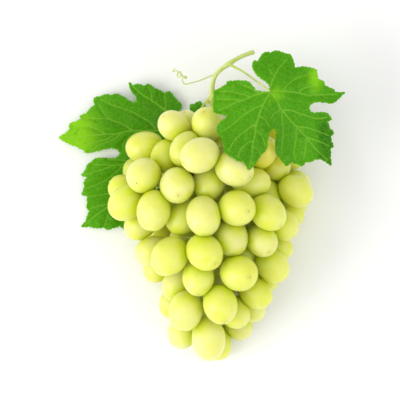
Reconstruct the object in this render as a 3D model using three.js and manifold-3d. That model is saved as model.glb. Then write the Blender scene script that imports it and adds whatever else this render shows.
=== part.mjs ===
// A bunch of green table grapes with two vine leaves and a tendril, lying on its back on a level surface.
// Millimetres, +Z up. The stem's cut end points to +Y, the tip of the bunch to -Y.
//
// The bunch is built as it grows: a shoot runs down into a rachis, short stalks branch from it, and every
// stalk carries one berry. Each berry is an ellipsoid that starts at the place in its table and is pushed
// clear of its neighbours, so the packed bunch follows the tables without two berries overlapping.
import * as THREE from "three";
import { mergeVertices } from "three/addons/utils/BufferGeometryUtils.js";
import Module from "manifold-3d";

const wasm = await Module();
wasm.setup();

// Driving dimensions
const BERRY_HALF_LENGTH = 13.8;
const BERRY_HALF_WIDTH = 11.2;
const BERRY_FACETS = 1; // icosahedron subdivisions
const GAP = 0.35; // clear space kept between two separate pieces
const FLAT_DEPTH = 1.1; // how far the lowest berries flatten against the surface
const BRIDGE_RADIUS = 1.8; // the pressed contact that joins two berries of one rear group
const STALK_RADIUS = 0.95;
const STALK_SIDES = 3;
const RACHIS_RADIUS = 1.7;
const SHOOT_RADIUS = 1.7;
const TENDRIL_RADIUS = 0.5;
const PETIOLE_RADIUS = 0.85;
const BLADE_THICKNESS = 0.9;
const BLADE_RINGS = [0.4, 0.72, 1]; // shares of the way from the petiole to the margin
const DRAPE_REACH = 7; // how far round a point of a leaf its highest support is looked for

// How the packing runs
const SWEEPS = 500;
const SIDEWAYS_SHARE = 0.14; // how freely a showing berry moves sideways, against 1 for up and down
const PULL = 0.02; // how strongly a berry is drawn back to the height in its table
const STALK_STRAIGHT = [4, 2.5, 1.2]; // lengths tried for the part of a stalk in line with its berry
const STALK_REACH = 45; // the furthest that a stalk may run
const LEAF_BED = { maxX: 14, minY: -24, rise: 2.6 }; // where the left leaf lies under the berries
const UP = new THREE.Vector3(0, 0, 1);

// Berries that show from above, one row each:
// x, y, z of the centre, the heading and the rise of the blossom end in degrees, size, stretch along its axis.
const SHOWING = [
  [-17, 56, 42, 140, 40, 0.86],
  [-8, 57, 24, 100, 30, 0.85],
  [6, 56, 52, 110, 50, 0.93],
  [-37, 41, 30, 192, 10, 0.9, 1.05],
  [-24, 36, 43, 250, 35, 0.9],
  [-11, 39, 55, 240, 28, 0.9, 1.04],
  [-1, 35, 72, 205, 30, 1],
  [23, 26, 70, 332, 30, 1],
  [-38, 22, 55, 230, 60, 0.99],
  [-53, 11, 28, 150, 5, 0.86],
  [-51, 3, 47, 222, 20, 1],
  [-32, -3, 62, 262, 12, 0.97, 1.04],
  [-16, 14, 65, 275, 62, 1],
  [6, 15, 57, 265, 45, 0.94],
  [37, 17, 53, 0, 6, 0.91, 1.06],
  [26, -3, 68, 343, 58, 1.03],
  [44, -6, 60, 312, 25, 0.98],
  [48, 10, 41, 290, 20, 0.88],
  [43, 35, 51, 60, 30, 0.88],
  [51, 30, 40, 320, 25, 0.86],
  [66, 16, 22, 345, 0, 0.86],
  [64, 10, 43, 325, 10, 0.9],
  [62, -6, 24, 350, 5, 0.82],
  [57, -13, 43, 312, 15, 0.86],
  [44, -22, 49, 300, 45, 0.9],
  [22, -21, 58, 275, 28, 0.97],
  [4, -8, 69, 278, 22, 1],
  [-11, -8, 51, 226, 12, 0.95, 1.03],
  [3, -31, 66, 312, 44, 1.02],
  [-21, -35, 58, 230, 26, 1.04],
  [-42, -13, 34, 220, 5, 0.86],
  [-33, -32, 36, 195, 5, 0.9],
  [-15, -57, 30, 235, 12, 0.88],
  [0, -49, 55, 268, 30, 0.92],
  [27, -46, 58, 340, 60, 1.06],
  [14, -68, 52, 283, 30, 1],
  [-11, -72, 41, 262, 12, 1],
  [-12, -89, 22, 255, 10, 0.88],
  [6, -93, 34, 276, 5, 0.98, 1.16],
  [24, -74, 36, 300, 20, 0.85],
  [39, -61, 39, 320, 15, 0.88],
  [49, -40, 41, 312, 10, 0.92],
  [-30, -43, 18, 240, 0, 0.8],
];

// Berries of the inner and rear layers. The berries of one group press together and are one piece.
const REAR = [
  [[-8, 40, 8, 130, 0, 0.8], [11, 47, 8, 60, 0, 0.88]],
  [
    [30, 50, 8, 60, 0, 0.88], [49, 47, 32, 40, 20, 0.84],
    [52, 42, 8, 30, 0, 0.86], [61, 26, 24, 20, 10, 0.84],
  ],
  [[27, 46, 48, 70, 30, 0.88], [14, 44, 38, 90, 10, 0.86], [30, 32, 30, 60, 0, 0.9]],
  [[6, 25, 8, 270, -10, 0.88], [-12, 22, 8, 200, 0, 0.88], [-32, 23, 8, 170, 0, 0.84]],
  [[24, 24, 8, 300, -10, 0.92], [46, 20, 8, 340, 0, 0.9], [66, 8, 8, 345, 0, 0.8]],
  [[-7, 7, 8, 250, 0, 0.92], [15, 4, 8, 290, 0, 0.92], [16, 9, 40, 300, 30, 0.86]],
  [[37, 1, 8, 330, 0, 0.92], [56, -13, 8, 340, 0, 0.86], [36, -17, 36, 320, 20, 0.88]],
  [
    [-38, 0, 8, 200, 0, 0.88], [-25, -13, 8, 220, 0, 0.9],
    [-18, 2, 34, 210, 0, 0.86], [-13, -20, 37, 250, 0, 0.9],
  ],
  [
    [4, -16, 8, 270, 0, 0.92], [26, -20, 8, 300, 0, 0.92],
    [44, -33, 8, 330, 0, 0.88], [53, -31, 26, 340, 0, 0.8],
  ],
  [[-18, -32, 8, 230, 0, 0.9], [-6, -49, 8, 260, 0, 0.9], [8, -55, 34, 270, 0, 0.86]],
  [
    [15, -37, 8, 280, 0, 0.92], [30, -50, 8, 310, 0, 0.88],
    [42, -49, 24, 320, 0, 0.8], [31, -33, 38, 320, 20, 0.88],
  ],
  [[13, -62, 8, 280, 0, 0.86], [32, -70, 20, 310, 0, 0.84], [24, -84, 8, 300, 0, 0.84]],
  [[4, -78, 8, 270, 0, 0.84], [13, -93, 8, 285, 0, 0.84, 1.1], [-18, -68, 8, 240, 0, 0.82]],
];

// The shoot, from its cut end to where it enters the bunch, and the rachis that carries on through the bunch.
const SHOOT = [[37, 107, 49], [29, 104, 50], [20, 98, 50], [12, 92, 49], [9, 84, 47], [8, 74, 45], [8, 66, 43]];
const RACHIS = [
  [8, 67, 43], [6, 48, 26], [4, 30, 34], [5, 12, 28], [8, -10, 34], [10, -34, 28], [10, -54, 22], [8, -72, 24],
];

// The tendril: straight out from the shoot, then two small curls.
const TENDRIL = [
  [11, 92, 48], [6, 90, 48], [-3, 87, 49], [-10, 85, 50], [-12.4, 87.6, 51], [-10, 90.4, 52.5], [-12.6, 92.8, 54],
  [-15.6, 91.2, 55.5], [-14.6, 89, 57], [-13, 91.5, 58.5], [-17.5, 95.3, 60],
];

// The left leaf: its petiole, the junction of its veins, and its margin, anticlockwise from its upper tip.
const LEFT_PETIOLE = [[8, 75, 45], [3, 71, 38], [-1, 66, 26], [-5, 61, 12], [-8, 57, 0.5]];
const LEFT_JUNCTION = [-8, 57, 0];
const LEFT_MARGIN = [
  [-51, 89, 9], [-45.5, 78, 4], [-46, 74.5, 3], [-56, 78, 3], [-67.5, 80, 6], [-76, 77.5, 5], [-76, 72, 3],
  [-86.5, 64, 4], [-94, 57, 2], [-101.5, 49, 5], [-88, 42.5, 2], [-79.5, 38, 0], [-69, 40.5, 2], [-58, 39.5, 2],
  [-61, 35, 2], [-75.5, 34, 3], [-82, 27, 2], [-85.5, 22, 4], [-81, 19, 2], [-85, 8, 3], [-80, -3, 0],
  [-85.5, -15, 0], [-75.5, -16, 2], [-66.5, -17.5, 0], [-51, -16, 0], [-38, -14, 0], [-28, -4, 0], [-20, 10, 0],
  [-10, 20, 0], [-2, 34, 0], [0, 48, 0], [6, 58, 0], [6, 70, 0], [0.5, 75.5, 0], [-7, 72, 0], [-14, 73.5, 0],
  [-22, 82.5, 3], [-30, 83.5, 4], [-40, 87, 5],
];

// The right leaf: the same, its margin clockwise from beside the petiole.
const RIGHT_PETIOLE = [[20, 98, 50], [25, 96.5, 53], [35, 89.5, 63], [44.5, 81.5, 73], [47.5, 79, 76.5]];
const RIGHT_JUNCTION = [47.5, 79, 76];
const RIGHT_MARGIN = [
  [45.5, 84.5, 75], [40, 89, 71], [35.8, 96.3, 66], [37, 100.5, 64], [44, 106, 62], [54, 107.5, 61],
  [62.5, 105, 62], [65.5, 95, 67], [77.5, 95.5, 62], [81.5, 88.5, 62], [90, 82, 58], [101, 79, 54],
  [92, 71, 58], [77, 70.5, 65], [76, 67, 66], [84, 64.5, 62], [91.5, 60, 58], [89.5, 54, 56], [93, 42, 52],
  [91.5, 28, 46], [80, 32, 52], [71, 27.5, 52], [60, 28, 58], [53, 36, 66], [52, 51, 74], [49, 52.5, 75],
  [46, 40, 76], [40, 32, 78], [33.5, 24.5, 80], [29, 30.5, 80], [18.5, 36, 78], [15, 46.5, 76], [11.5, 54, 72],
  [18.5, 61, 73], [9.5, 64.5, 68], [9.5, 79, 64], [18.5, 86, 64], [34, 85.5, 70], [42.5, 80, 75],
];

const point = ([x, y, z]) => new THREE.Vector3(x, y, z);
const curve = (points) => new THREE.CatmullRomCurve3(points.map((p) => (p.isVector3 ? p : point(p))));

// The unit vector with a heading in the XY plane and a rise above it, both in degrees.
function bearing(heading, rise) {
  const h = THREE.MathUtils.degToRad(heading);
  const r = THREE.MathUtils.degToRad(rise);
  return new THREE.Vector3(Math.cos(h) * Math.cos(r), Math.sin(h) * Math.cos(r), Math.sin(r));
}

// An ellipsoid of revolution about the line from its stalk to its blossom end.
class Berry {
  constructor([x, y, z, heading, rise, size, stretch = 1], freedom) {
    this.centre = new THREE.Vector3(x, y, z);
    this.homeHeight = z;
    this.axis = bearing(heading, rise);
    this.long = BERRY_HALF_LENGTH * size * stretch;
    this.wide = BERRY_HALF_WIDTH * size;
    this.freedom = freedom;
  }

  // The furthest the surface reaches from the centre towards a unit vector.
  reach(towards) {
    const along = this.axis.dot(towards);
    return Math.sqrt(this.wide ** 2 + (this.long ** 2 - this.wide ** 2) * along ** 2);
  }

  // The surface point that lies furthest towards a unit vector.
  furthest(towards) {
    const along = (this.long ** 2 - this.wide ** 2) * this.axis.dot(towards);
    return towards
      .clone()
      .multiplyScalar(this.wide ** 2)
      .addScaledVector(this.axis, along)
      .divideScalar(this.reach(towards))
      .add(this.centre);
  }

  // Whether a ball of this radius at a place keeps clear of the berry.
  clears(place, radius) {
    const away = place.clone().sub(this.centre);
    const along = away.dot(this.axis);
    const across = Math.sqrt(Math.max(0, away.lengthSq() - along ** 2));
    return Math.hypot(along / (this.long + radius), across / (this.wide + radius)) >= 1;
  }

  move(step) {
    this.centre.x += step.x * this.freedom;
    this.centre.y += step.y * this.freedom;
    this.centre.z += step.z;
  }

  get stalkEnd() {
    return this.centre.clone().addScaledVector(this.axis, -this.long);
  }

  geometry() {
    const turn = new THREE.Quaternion().setFromUnitVectors(new THREE.Vector3(0, 0, 1), this.axis);
    const stretch = new THREE.Vector3(this.wide, this.wide, this.long);
    return new THREE.IcosahedronGeometry(1, BERRY_FACETS).applyMatrix4(
      new THREE.Matrix4().compose(this.centre, turn, stretch),
    );
  }
}

// The direction in which two berries are furthest apart, and the space between them along it.
function spaceBetween(a, b) {
  const direction = b.centre.clone().sub(a.centre);
  const apart = direction.length();
  direction.divideScalar(apart);
  let space = 0;
  for (let turn = 0; turn < 6; turn++) {
    const across = b.furthest(direction.clone().negate()).sub(a.furthest(direction));
    space = across.dot(direction);
    direction.addScaledVector(across.addScaledVector(direction, -space), 0.7 / apart).normalize();
  }
  space = b.centre.clone().sub(a.centre).dot(direction) - a.reach(direction) - b.reach(direction);
  return { direction, space };
}

// The lowest that a berry's centre may be: resting on the left leaf, or pressed a little flat on the surface.
function lowestCentre(berry) {
  const { x, y } = berry.centre;
  const onTheLeaf = x < LEAF_BED.maxX && y > LEAF_BED.minY;
  return berry.reach(UP) + (onTheLeaf ? LEAF_BED.rise : -FLAT_DEPTH);
}

// Pushes the berries apart, off the surface and off the stem's line, until none overlap.
function settle(berries, stemLine) {
  for (let sweep = 0; sweep < SWEEPS; sweep++) {
    berries.forEach((a, i) => {
      for (const b of berries.slice(i + 1)) {
        if (a.centre.distanceTo(b.centre) > a.long + b.long + GAP) continue;
        const { direction, space } = spaceBetween(a, b);
        if (space >= GAP) continue;
        const push = (GAP - space) / 2 + 0.005;
        a.move(direction.clone().multiplyScalar(-push));
        b.move(direction.clone().multiplyScalar(push));
      }
      for (const { place, radius } of stemLine) {
        const away = a.centre.clone().sub(place);
        const apart = away.length();
        away.divideScalar(apart);
        const missing = a.reach(away) + radius + GAP - apart;
        if (missing > 0) a.move(away.multiplyScalar(missing));
      }
      if (sweep < SWEEPS / 2) a.centre.z += (a.homeHeight - a.centre.z) * PULL;
      a.centre.z = Math.max(a.centre.z, lowestCentre(a));
    });
  }
}

const merged = (geometry) => {
  const bare = new THREE.BufferGeometry().setAttribute("position", geometry.getAttribute("position"));
  if (geometry.index) bare.setIndex(geometry.index);
  return mergeVertices(bare, 1e-4);
};

function toSolid(geometry) {
  const closed = merged(geometry);
  return new wasm.Manifold(
    new wasm.Mesh({
      numProp: 3,
      vertProperties: new Float32Array(closed.getAttribute("position").array),
      triVerts: new Uint32Array(closed.index.array),
    }),
  );
}

function toGeometry(solid) {
  const mesh = solid.getMesh();
  return new THREE.BufferGeometry()
    .setAttribute("position", new THREE.BufferAttribute(mesh.vertProperties, mesh.numProp))
    .setIndex(new THREE.BufferAttribute(mesh.triVerts, 1));
}

const joined = (solids) => solids.reduce((sum, solid) => sum.add(solid));

// A round tube of even thickness along points, with flat ends.
function tube(points, radius, sides, steps) {
  const section = new THREE.Shape();
  for (let side = 0; side < sides; side++) {
    const angle = (side / sides) * 2 * Math.PI;
    const corner = [Math.cos(angle) * radius, Math.sin(angle) * radius];
    if (side === 0) section.moveTo(...corner);
    else section.lineTo(...corner);
  }
  return new THREE.ExtrudeGeometry(section, { steps, bevelEnabled: false, extrudePath: curve(points) });
}

// Points evenly spaced along a curve, each a ball that the berries keep off.
function ballsAlong(points, radius, spacing = 3) {
  const line = curve(points);
  return line.getSpacedPoints(Math.ceil(line.getLength() / spacing)).map((place) => ({ place, radius }));
}

// Whether a straight stalk from one place to another keeps clear of every berry and obstacle.
function runIsClear(from, to, berries, obstacles) {
  const steps = Math.ceil(from.distanceTo(to));
  for (let step = 0; step <= steps; step++) {
    const place = from.clone().lerp(to, step / steps);
    if (berries.some((berry) => !berry.clears(place, STALK_RADIUS + GAP))) return false;
    if (obstacles.some((ball) => ball.place.distanceTo(place) < ball.radius + STALK_RADIUS)) return false;
  }
  return true;
}

// A stalk of two straight runs, from under its berry a little past its elbow, and on to the stem.
function stalkSolid([tip, elbow, joint]) {
  const pastElbow = elbow.clone().addScaledVector(elbow.clone().sub(tip).normalize(), STALK_RADIUS / 2);
  const runs = [[tip, pastElbow], [elbow, joint]];
  return joined(runs.map((run) => toSolid(tube(run, STALK_RADIUS, STALK_SIDES, 1))));
}

// The lines of the pressed contacts that join each berry of a rear group to the next.
const contactLines = (group) => group.slice(1).map((berry, i) => [group[i].centre, berry.centre]);

// A berry with its lowest side pressed flat where it meets the surface.
function onTheSurface(berry) {
  const below = new THREE.BoxGeometry(60, 60, 40).translate(berry.centre.x, berry.centre.y, -20);
  return toSolid(berry.geometry()).subtract(toSolid(below));
}

// The stalks: each leaves its berry's stalk end and joins the nearest part of the stem it can reach.
// A berry whose way to the stem is closed by its neighbours is left without one.
function growStalks(berries, stemLine, obstacles) {
  const reachable = stemLine.map(({ place }) => place.clone());
  const waiting = new Set(berries);
  const stalks = [];
  const nearest = (berry) => Math.min(...reachable.map((place) => place.distanceTo(berry.stalkEnd)));
  const grow = (berry) => {
    const tip = berry.stalkEnd.addScaledVector(berry.axis, -GAP - 0.05);
    const start = tip.clone().addScaledVector(berry.axis, -STALK_RADIUS);
    for (const length of STALK_STRAIGHT) {
      const elbow = tip.clone().addScaledVector(berry.axis, -length);
      if (!runIsClear(start, elbow, berries, obstacles)) continue;
      const joint = reachable
        .filter((place) => place.distanceTo(elbow) < STALK_REACH)
        .sort((a, b) => a.distanceTo(elbow) - b.distanceTo(elbow))
        .find((place) => runIsClear(elbow, place, berries, obstacles));
      if (joint) return [tip, elbow, joint];
    }
    return null;
  };
  for (let grown = true; grown; ) {
    grown = false;
    for (const berry of [...waiting].sort((a, b) => nearest(a) - nearest(b))) {
      const stalk = grow(berry);
      if (!stalk) continue;
      const [, elbow, joint] = stalk;
      stalks.push(stalk);
      waiting.delete(berry);
      const steps = Math.ceil(elbow.distanceTo(joint) / 2);
      for (let step = 0; step < steps; step++) reachable.push(elbow.clone().lerp(joint, step / steps));
      grown = true;
      break;
    }
  }
  return stalks;
}

// The highest berry surface within DRAPE_REACH of a place, seen from above.
function supportHeight(x, y, berries) {
  const tops = berries.map((berry) => {
    const away = Math.hypot(x - berry.centre.x, y - berry.centre.y);
    const over = Math.max(0, away - DRAPE_REACH) / berry.wide;
    return over < 1 ? berry.centre.z + berry.reach(UP) * Math.sqrt(1 - over ** 2) : 0;
  });
  return Math.max(...tops);
}

// A leaf blade: rings of points from the junction of its veins out to its margin, on two faces.
function blade(junction, margin, lift) {
  const centre = point(junction);
  const rim = margin.map(point);
  const rows = BLADE_RINGS.map((share) => rim.map((edge) => centre.clone().lerp(edge, share)));
  const lower = [centre, ...rows.flat()].map((p) => new THREE.Vector3(p.x, p.y, lift(p)));
  const upper = lower.map((p) => p.clone().setZ(p.z + BLADE_THICKNESS));
  const count = rim.length;
  const last = lower.length;
  const at = (ring, i) => 1 + ring * count + (i % count);
  const faces = [];
  const bothSides = (a, b, c) => faces.push([a + last, b + last, c + last], [a, c, b]);
  for (let i = 0; i < count; i++) {
    bothSides(0, at(0, i), at(0, i + 1));
    for (let ring = 1; ring < rows.length; ring++) {
      bothSides(at(ring - 1, i), at(ring, i), at(ring, i + 1));
      bothSides(at(ring - 1, i), at(ring, i + 1), at(ring - 1, i + 1));
    }
    const edge = [at(rows.length - 1, i), at(rows.length - 1, i + 1)];
    faces.push([edge[0], edge[1], edge[1] + last], [edge[0], edge[1] + last, edge[0] + last]);
  }
  const geometry = new THREE.BufferGeometry().setFromPoints([...lower, ...upper]);
  return geometry.setIndex(faces.flat());
}

// The berries settle round the stem, on the surface and on the rear leaf.
const showing = SHOWING.map((row) => new Berry(row, SIDEWAYS_SHARE));
const rear = REAR.map((group) => group.map((row) => new Berry(row, 1)));
const berries = [...showing, ...rear.flat()];
const rachisBalls = ballsAlong(RACHIS, RACHIS_RADIUS + GAP);
const fixedStems = [
  ...ballsAlong(SHOOT, SHOOT_RADIUS + GAP),
  ...ballsAlong(LEFT_PETIOLE, PETIOLE_RADIUS + GAP),
  ...ballsAlong(RIGHT_PETIOLE, PETIOLE_RADIUS + GAP),
];
settle(berries, [...rachisBalls, ...fixedStems]);

// The stem: the shoot, the rachis and the stalks, grown as one piece.
const contacts = rear.flatMap(contactLines).flatMap((line) => ballsAlong(line, BRIDGE_RADIUS + GAP, 1.5));
const obstacles = [...fixedStems, ...contacts];
const stem = joined([
  toSolid(tube(SHOOT, SHOOT_RADIUS, 8, 12)),
  toSolid(tube(RACHIS, RACHIS_RADIUS, 5, 14)),
  ...growStalks(berries, rachisBalls, obstacles).map(stalkSolid),
]);
const roundTheShoot = toSolid(tube(SHOOT, SHOOT_RADIUS + GAP, 10, 14));

// The leaves: the left one lies on the surface under the bunch, the right one over its shoulder.
const petiole = (points) => toSolid(tube(points, PETIOLE_RADIUS, 6, 12)).subtract(roundTheShoot);
const leftBlade = blade(LEFT_JUNCTION, LEFT_MARGIN, (p) => p.z);
const overBerries = (p) => Math.max(p.z, supportHeight(p.x, p.y, berries) + 2 * GAP);
const rightBlade = blade(RIGHT_JUNCTION, RIGHT_MARGIN.toReversed(), overBerries);

const BERRY_SKIN = { color: 0xd2dc5a, roughness: 0.4, metalness: 0 };
const GREEN_STEM = { color: 0xa5be3c, roughness: 0.6, metalness: 0 };
const LEAF_GREEN = { color: 0x4b9b10, roughness: 0.5, metalness: 0 };

const bunch = new THREE.Group();

function add(name, geometry, finish) {
  const mesh = new THREE.Mesh(geometry, new THREE.MeshStandardMaterial(finish));
  mesh.name = name;
  bunch.add(mesh);
}

const twoDigits = (n) => String(n).padStart(2, "0");
showing.forEach((berry, i) => add(`berry_${twoDigits(i + 1)}`, toGeometry(onTheSurface(berry)), BERRY_SKIN));
rear.forEach((group, i) => {
  const bridges = contactLines(group).map((line) => toSolid(tube(line, BRIDGE_RADIUS, 5, 1)));
  const cluster = joined([...group.map(onTheSurface), ...bridges]);
  add(`rear_berries_${twoDigits(i + 1)}`, toGeometry(cluster), BERRY_SKIN);
});
add("stem", toGeometry(stem), GREEN_STEM);
add("tendril", toGeometry(toSolid(tube(TENDRIL, TENDRIL_RADIUS, 5, 48)).subtract(roundTheShoot)), GREEN_STEM);
add("leaf_left", toGeometry(joined([toSolid(leftBlade), petiole(LEFT_PETIOLE)])), LEAF_GREEN);
add("leaf_right", toGeometry(joined([toSolid(rightBlade), petiole(RIGHT_PETIOLE)])), LEAF_GREEN);

export default bunch;
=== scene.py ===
"""A bunch of green table grapes with its stem, tendril and two vine leaves, lying on a pale surface.

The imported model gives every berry's place. Each berry is modelled again as a fine skin that presses
against its neighbours. The leaves are cut from their own outlines, veined, curled and given a thickness;
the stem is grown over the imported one, and the tendril is drawn along its own curl.
"""
import logging
import math
from dataclasses import dataclass, field
from enum import Enum
from typing import Callable, Sequence

import bmesh
import bpy
import numpy as np
from mathutils import Matrix, Vector, noise
from mathutils.bvhtree import BVHTree
from mathutils.geometry import delaunay_2d_cdt


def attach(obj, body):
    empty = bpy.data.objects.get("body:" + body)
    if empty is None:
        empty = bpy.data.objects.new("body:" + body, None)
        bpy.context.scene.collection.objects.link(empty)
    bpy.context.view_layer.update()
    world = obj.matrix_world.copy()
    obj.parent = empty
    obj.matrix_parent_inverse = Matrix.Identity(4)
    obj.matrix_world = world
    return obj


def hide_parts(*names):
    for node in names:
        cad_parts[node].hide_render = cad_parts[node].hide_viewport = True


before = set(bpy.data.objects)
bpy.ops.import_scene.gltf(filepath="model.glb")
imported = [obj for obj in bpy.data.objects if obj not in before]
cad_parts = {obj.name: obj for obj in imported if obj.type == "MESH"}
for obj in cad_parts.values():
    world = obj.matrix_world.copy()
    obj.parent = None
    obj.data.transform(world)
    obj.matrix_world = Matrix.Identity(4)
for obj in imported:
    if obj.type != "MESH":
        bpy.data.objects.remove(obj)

LOG = logging.getLogger("grape_bunch")
MM = 0.001
ROOT = "root"
WELD = 2e-6
FAR = 1.0

Colour = tuple[float, float, float]
Place = tuple[float, float, float]
Flat = tuple[float, float]


class Slot(Enum):
    """The record's material slots."""

    BERRY = "berry_skin"
    REAR_BERRY = "berry_skin_rear"
    STEM = "green_stem"
    TENDRIL = "tendril_green"
    LEAF = "leaf_green"


class Layer(Enum):
    """Names of the point attributes that the finishes read."""

    ALONG = "along"
    TONE = "tone"
    TOUCH = "touch"
    GOLDEN_PATCH = "golden_patch"
    VEIN = "vein"
    EDGE = "edge"
    SHADE = "shade"


# ---------------------------------------------------------------- shader helpers


class Shader:
    """A material with one principled shader, and short ways to add nodes to it."""

    def __init__(self, name: str) -> None:
        """Starts an empty node tree with a principled shader in it.

        Args:
            name: The material's name.
        """
        self.material = bpy.data.materials.new(name)
        self.material.use_nodes = True
        self.tree = self.material.node_tree
        self.tree.nodes.clear()
        self.output = self.tree.nodes.new("ShaderNodeOutputMaterial")
        self.skin = self.tree.nodes.new("ShaderNodeBsdfPrincipled")
        self.tree.links.new(self.skin.outputs["BSDF"], self.output.inputs["Surface"])
        self.place = self.tree.nodes.new("ShaderNodeTexCoord").outputs["Object"]

    def node(self, kind: str, **settings: object) -> bpy.types.Node:
        """Adds a node.

        Args:
            kind: The node's type.
            settings: Its properties.

        Returns:
            The node.
        """
        made = self.tree.nodes.new(kind)
        for key, value in settings.items():
            setattr(made, key, value)
        return made

    def link(self, source: bpy.types.NodeSocket, target: bpy.types.NodeSocket) -> None:
        """Joins two sockets."""
        self.tree.links.new(source, target)

    def put(self, socket: bpy.types.NodeSocket, value: object) -> None:
        """Links a socket to another one, or sets its value.

        Args:
            socket: The input to feed.
            value: A socket, a number or a colour.
        """
        if isinstance(value, bpy.types.NodeSocket):
            self.link(value, socket)
        elif hasattr(value, "__len__") and len(value) == 3 and socket.type == "RGBA":
            socket.default_value = (*value, 1.0)
        else:
            socket.default_value = value

    def set(self, **values: object) -> None:
        """Sets or links inputs of the principled shader, with spaces written as underscores."""
        for key, value in values.items():
            self.put(self.skin.inputs[key.replace("_", " ")], value)

    def noise(self, scale: float, detail: float = 3.0, rough: float = 0.5, warp: float = 0.0,
              where: bpy.types.NodeSocket | None = None) -> bpy.types.NodeSocket:
        """Adds noise on object coordinates.

        Args:
            scale: Features per metre.
            detail: Octaves.
            rough: Share of each further octave.
            warp: Distortion of the pattern.
            where: Coordinates to use in place of the object's.

        Returns:
            The factor socket.
        """
        made = self.node("ShaderNodeTexNoise")
        self.put(made.inputs["Vector"], where or self.place)
        self.put(made.inputs["Scale"], scale)
        self.put(made.inputs["Detail"], detail)
        self.put(made.inputs["Roughness"], rough)
        self.put(made.inputs["Distortion"], warp)
        return made.outputs["Fac"]

    def cells(self, scale: float, feature: str = "F1", jitter: float = 1.0,
              where: bpy.types.NodeSocket | None = None) -> bpy.types.NodeSocket:
        """Adds a pattern of cells.

        Args:
            scale: Cells per metre.
            feature: What is measured: the way to a cell's middle or to its edge.
            jitter: How unevenly the cells lie.
            where: Coordinates to use in place of the object's.

        Returns:
            The distance socket.
        """
        made = self.node("ShaderNodeTexVoronoi", feature=feature)
        self.put(made.inputs["Vector"], where or self.place)
        self.put(made.inputs["Scale"], scale)
        self.put(made.inputs["Randomness"], jitter)
        return made.outputs["Distance"]

    def layer(self, which: Layer) -> bpy.types.NodeSocket:
        """Reads a point attribute of the piece."""
        made = self.node("ShaderNodeAttribute", attribute_name=which.value)
        return made.outputs["Fac"]

    def ramp(self, value: bpy.types.NodeSocket, low: float, high: float, to_low: float = 0.0,
             to_high: float = 1.0, smooth: bool = True) -> bpy.types.NodeSocket:
        """Maps a range of a value onto another, clamped at both ends.

        Args:
            value: The value.
            low: Where the range begins.
            high: Where it ends.
            to_low: What its beginning becomes.
            to_high: What its end becomes.
            smooth: Whether it eases in and out.

        Returns:
            The result's socket.
        """
        made = self.node("ShaderNodeMapRange", interpolation_type="SMOOTHSTEP" if smooth else "LINEAR")
        ends = {"Value": value, "From Min": low, "From Max": high, "To Min": to_low, "To Max": to_high}
        for key, number in ends.items():
            self.put(made.inputs[key], number)
        return made.outputs["Result"]

    def math(self, operation: str, a: object, b: object = 0.0) -> bpy.types.NodeSocket:
        """Works on two values.

        Args:
            operation: The operation's name.
            a: The first value or socket.
            b: The second one.

        Returns:
            The result's socket.
        """
        made = self.node("ShaderNodeMath", operation=operation)
        self.put(made.inputs[0], a)
        self.put(made.inputs[1], b)
        return made.outputs[0]

    def mix(self, share: object, a: object, b: object, mode: str = "MIX") -> bpy.types.NodeSocket:
        """Mixes two colours.

        Args:
            share: How much of the second colour there is.
            a: The first colour or socket.
            b: The second one.
            mode: How they are blended.

        Returns:
            The mixed colour's socket.
        """
        made = self.node("ShaderNodeMix", data_type="RGBA", blend_type=mode)
        self.put(made.inputs["Factor"], share)
        self.put(made.inputs[6], a)
        self.put(made.inputs[7], b)
        return made.outputs[2]

    def bump(self, height: object, distance: float, strength: float = 1.0,
             under: bpy.types.NodeSocket | None = None) -> bpy.types.NodeSocket:
        """Turns a height into a normal.

        Args:
            height: The height socket.
            distance: How tall a height of one is, in metres.
            strength: How much of the bump is used.
            under: A normal to build on.

        Returns:
            The normal socket.
        """
        made = self.node("ShaderNodeBump")
        self.put(made.inputs["Height"], height)
        self.put(made.inputs["Distance"], distance)
        self.put(made.inputs["Strength"], strength)
        if under is not None:
            self.link(under, made.inputs["Normal"])
        return made.outputs["Normal"]


# ---------------------------------------------------------------- finishes


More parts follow.
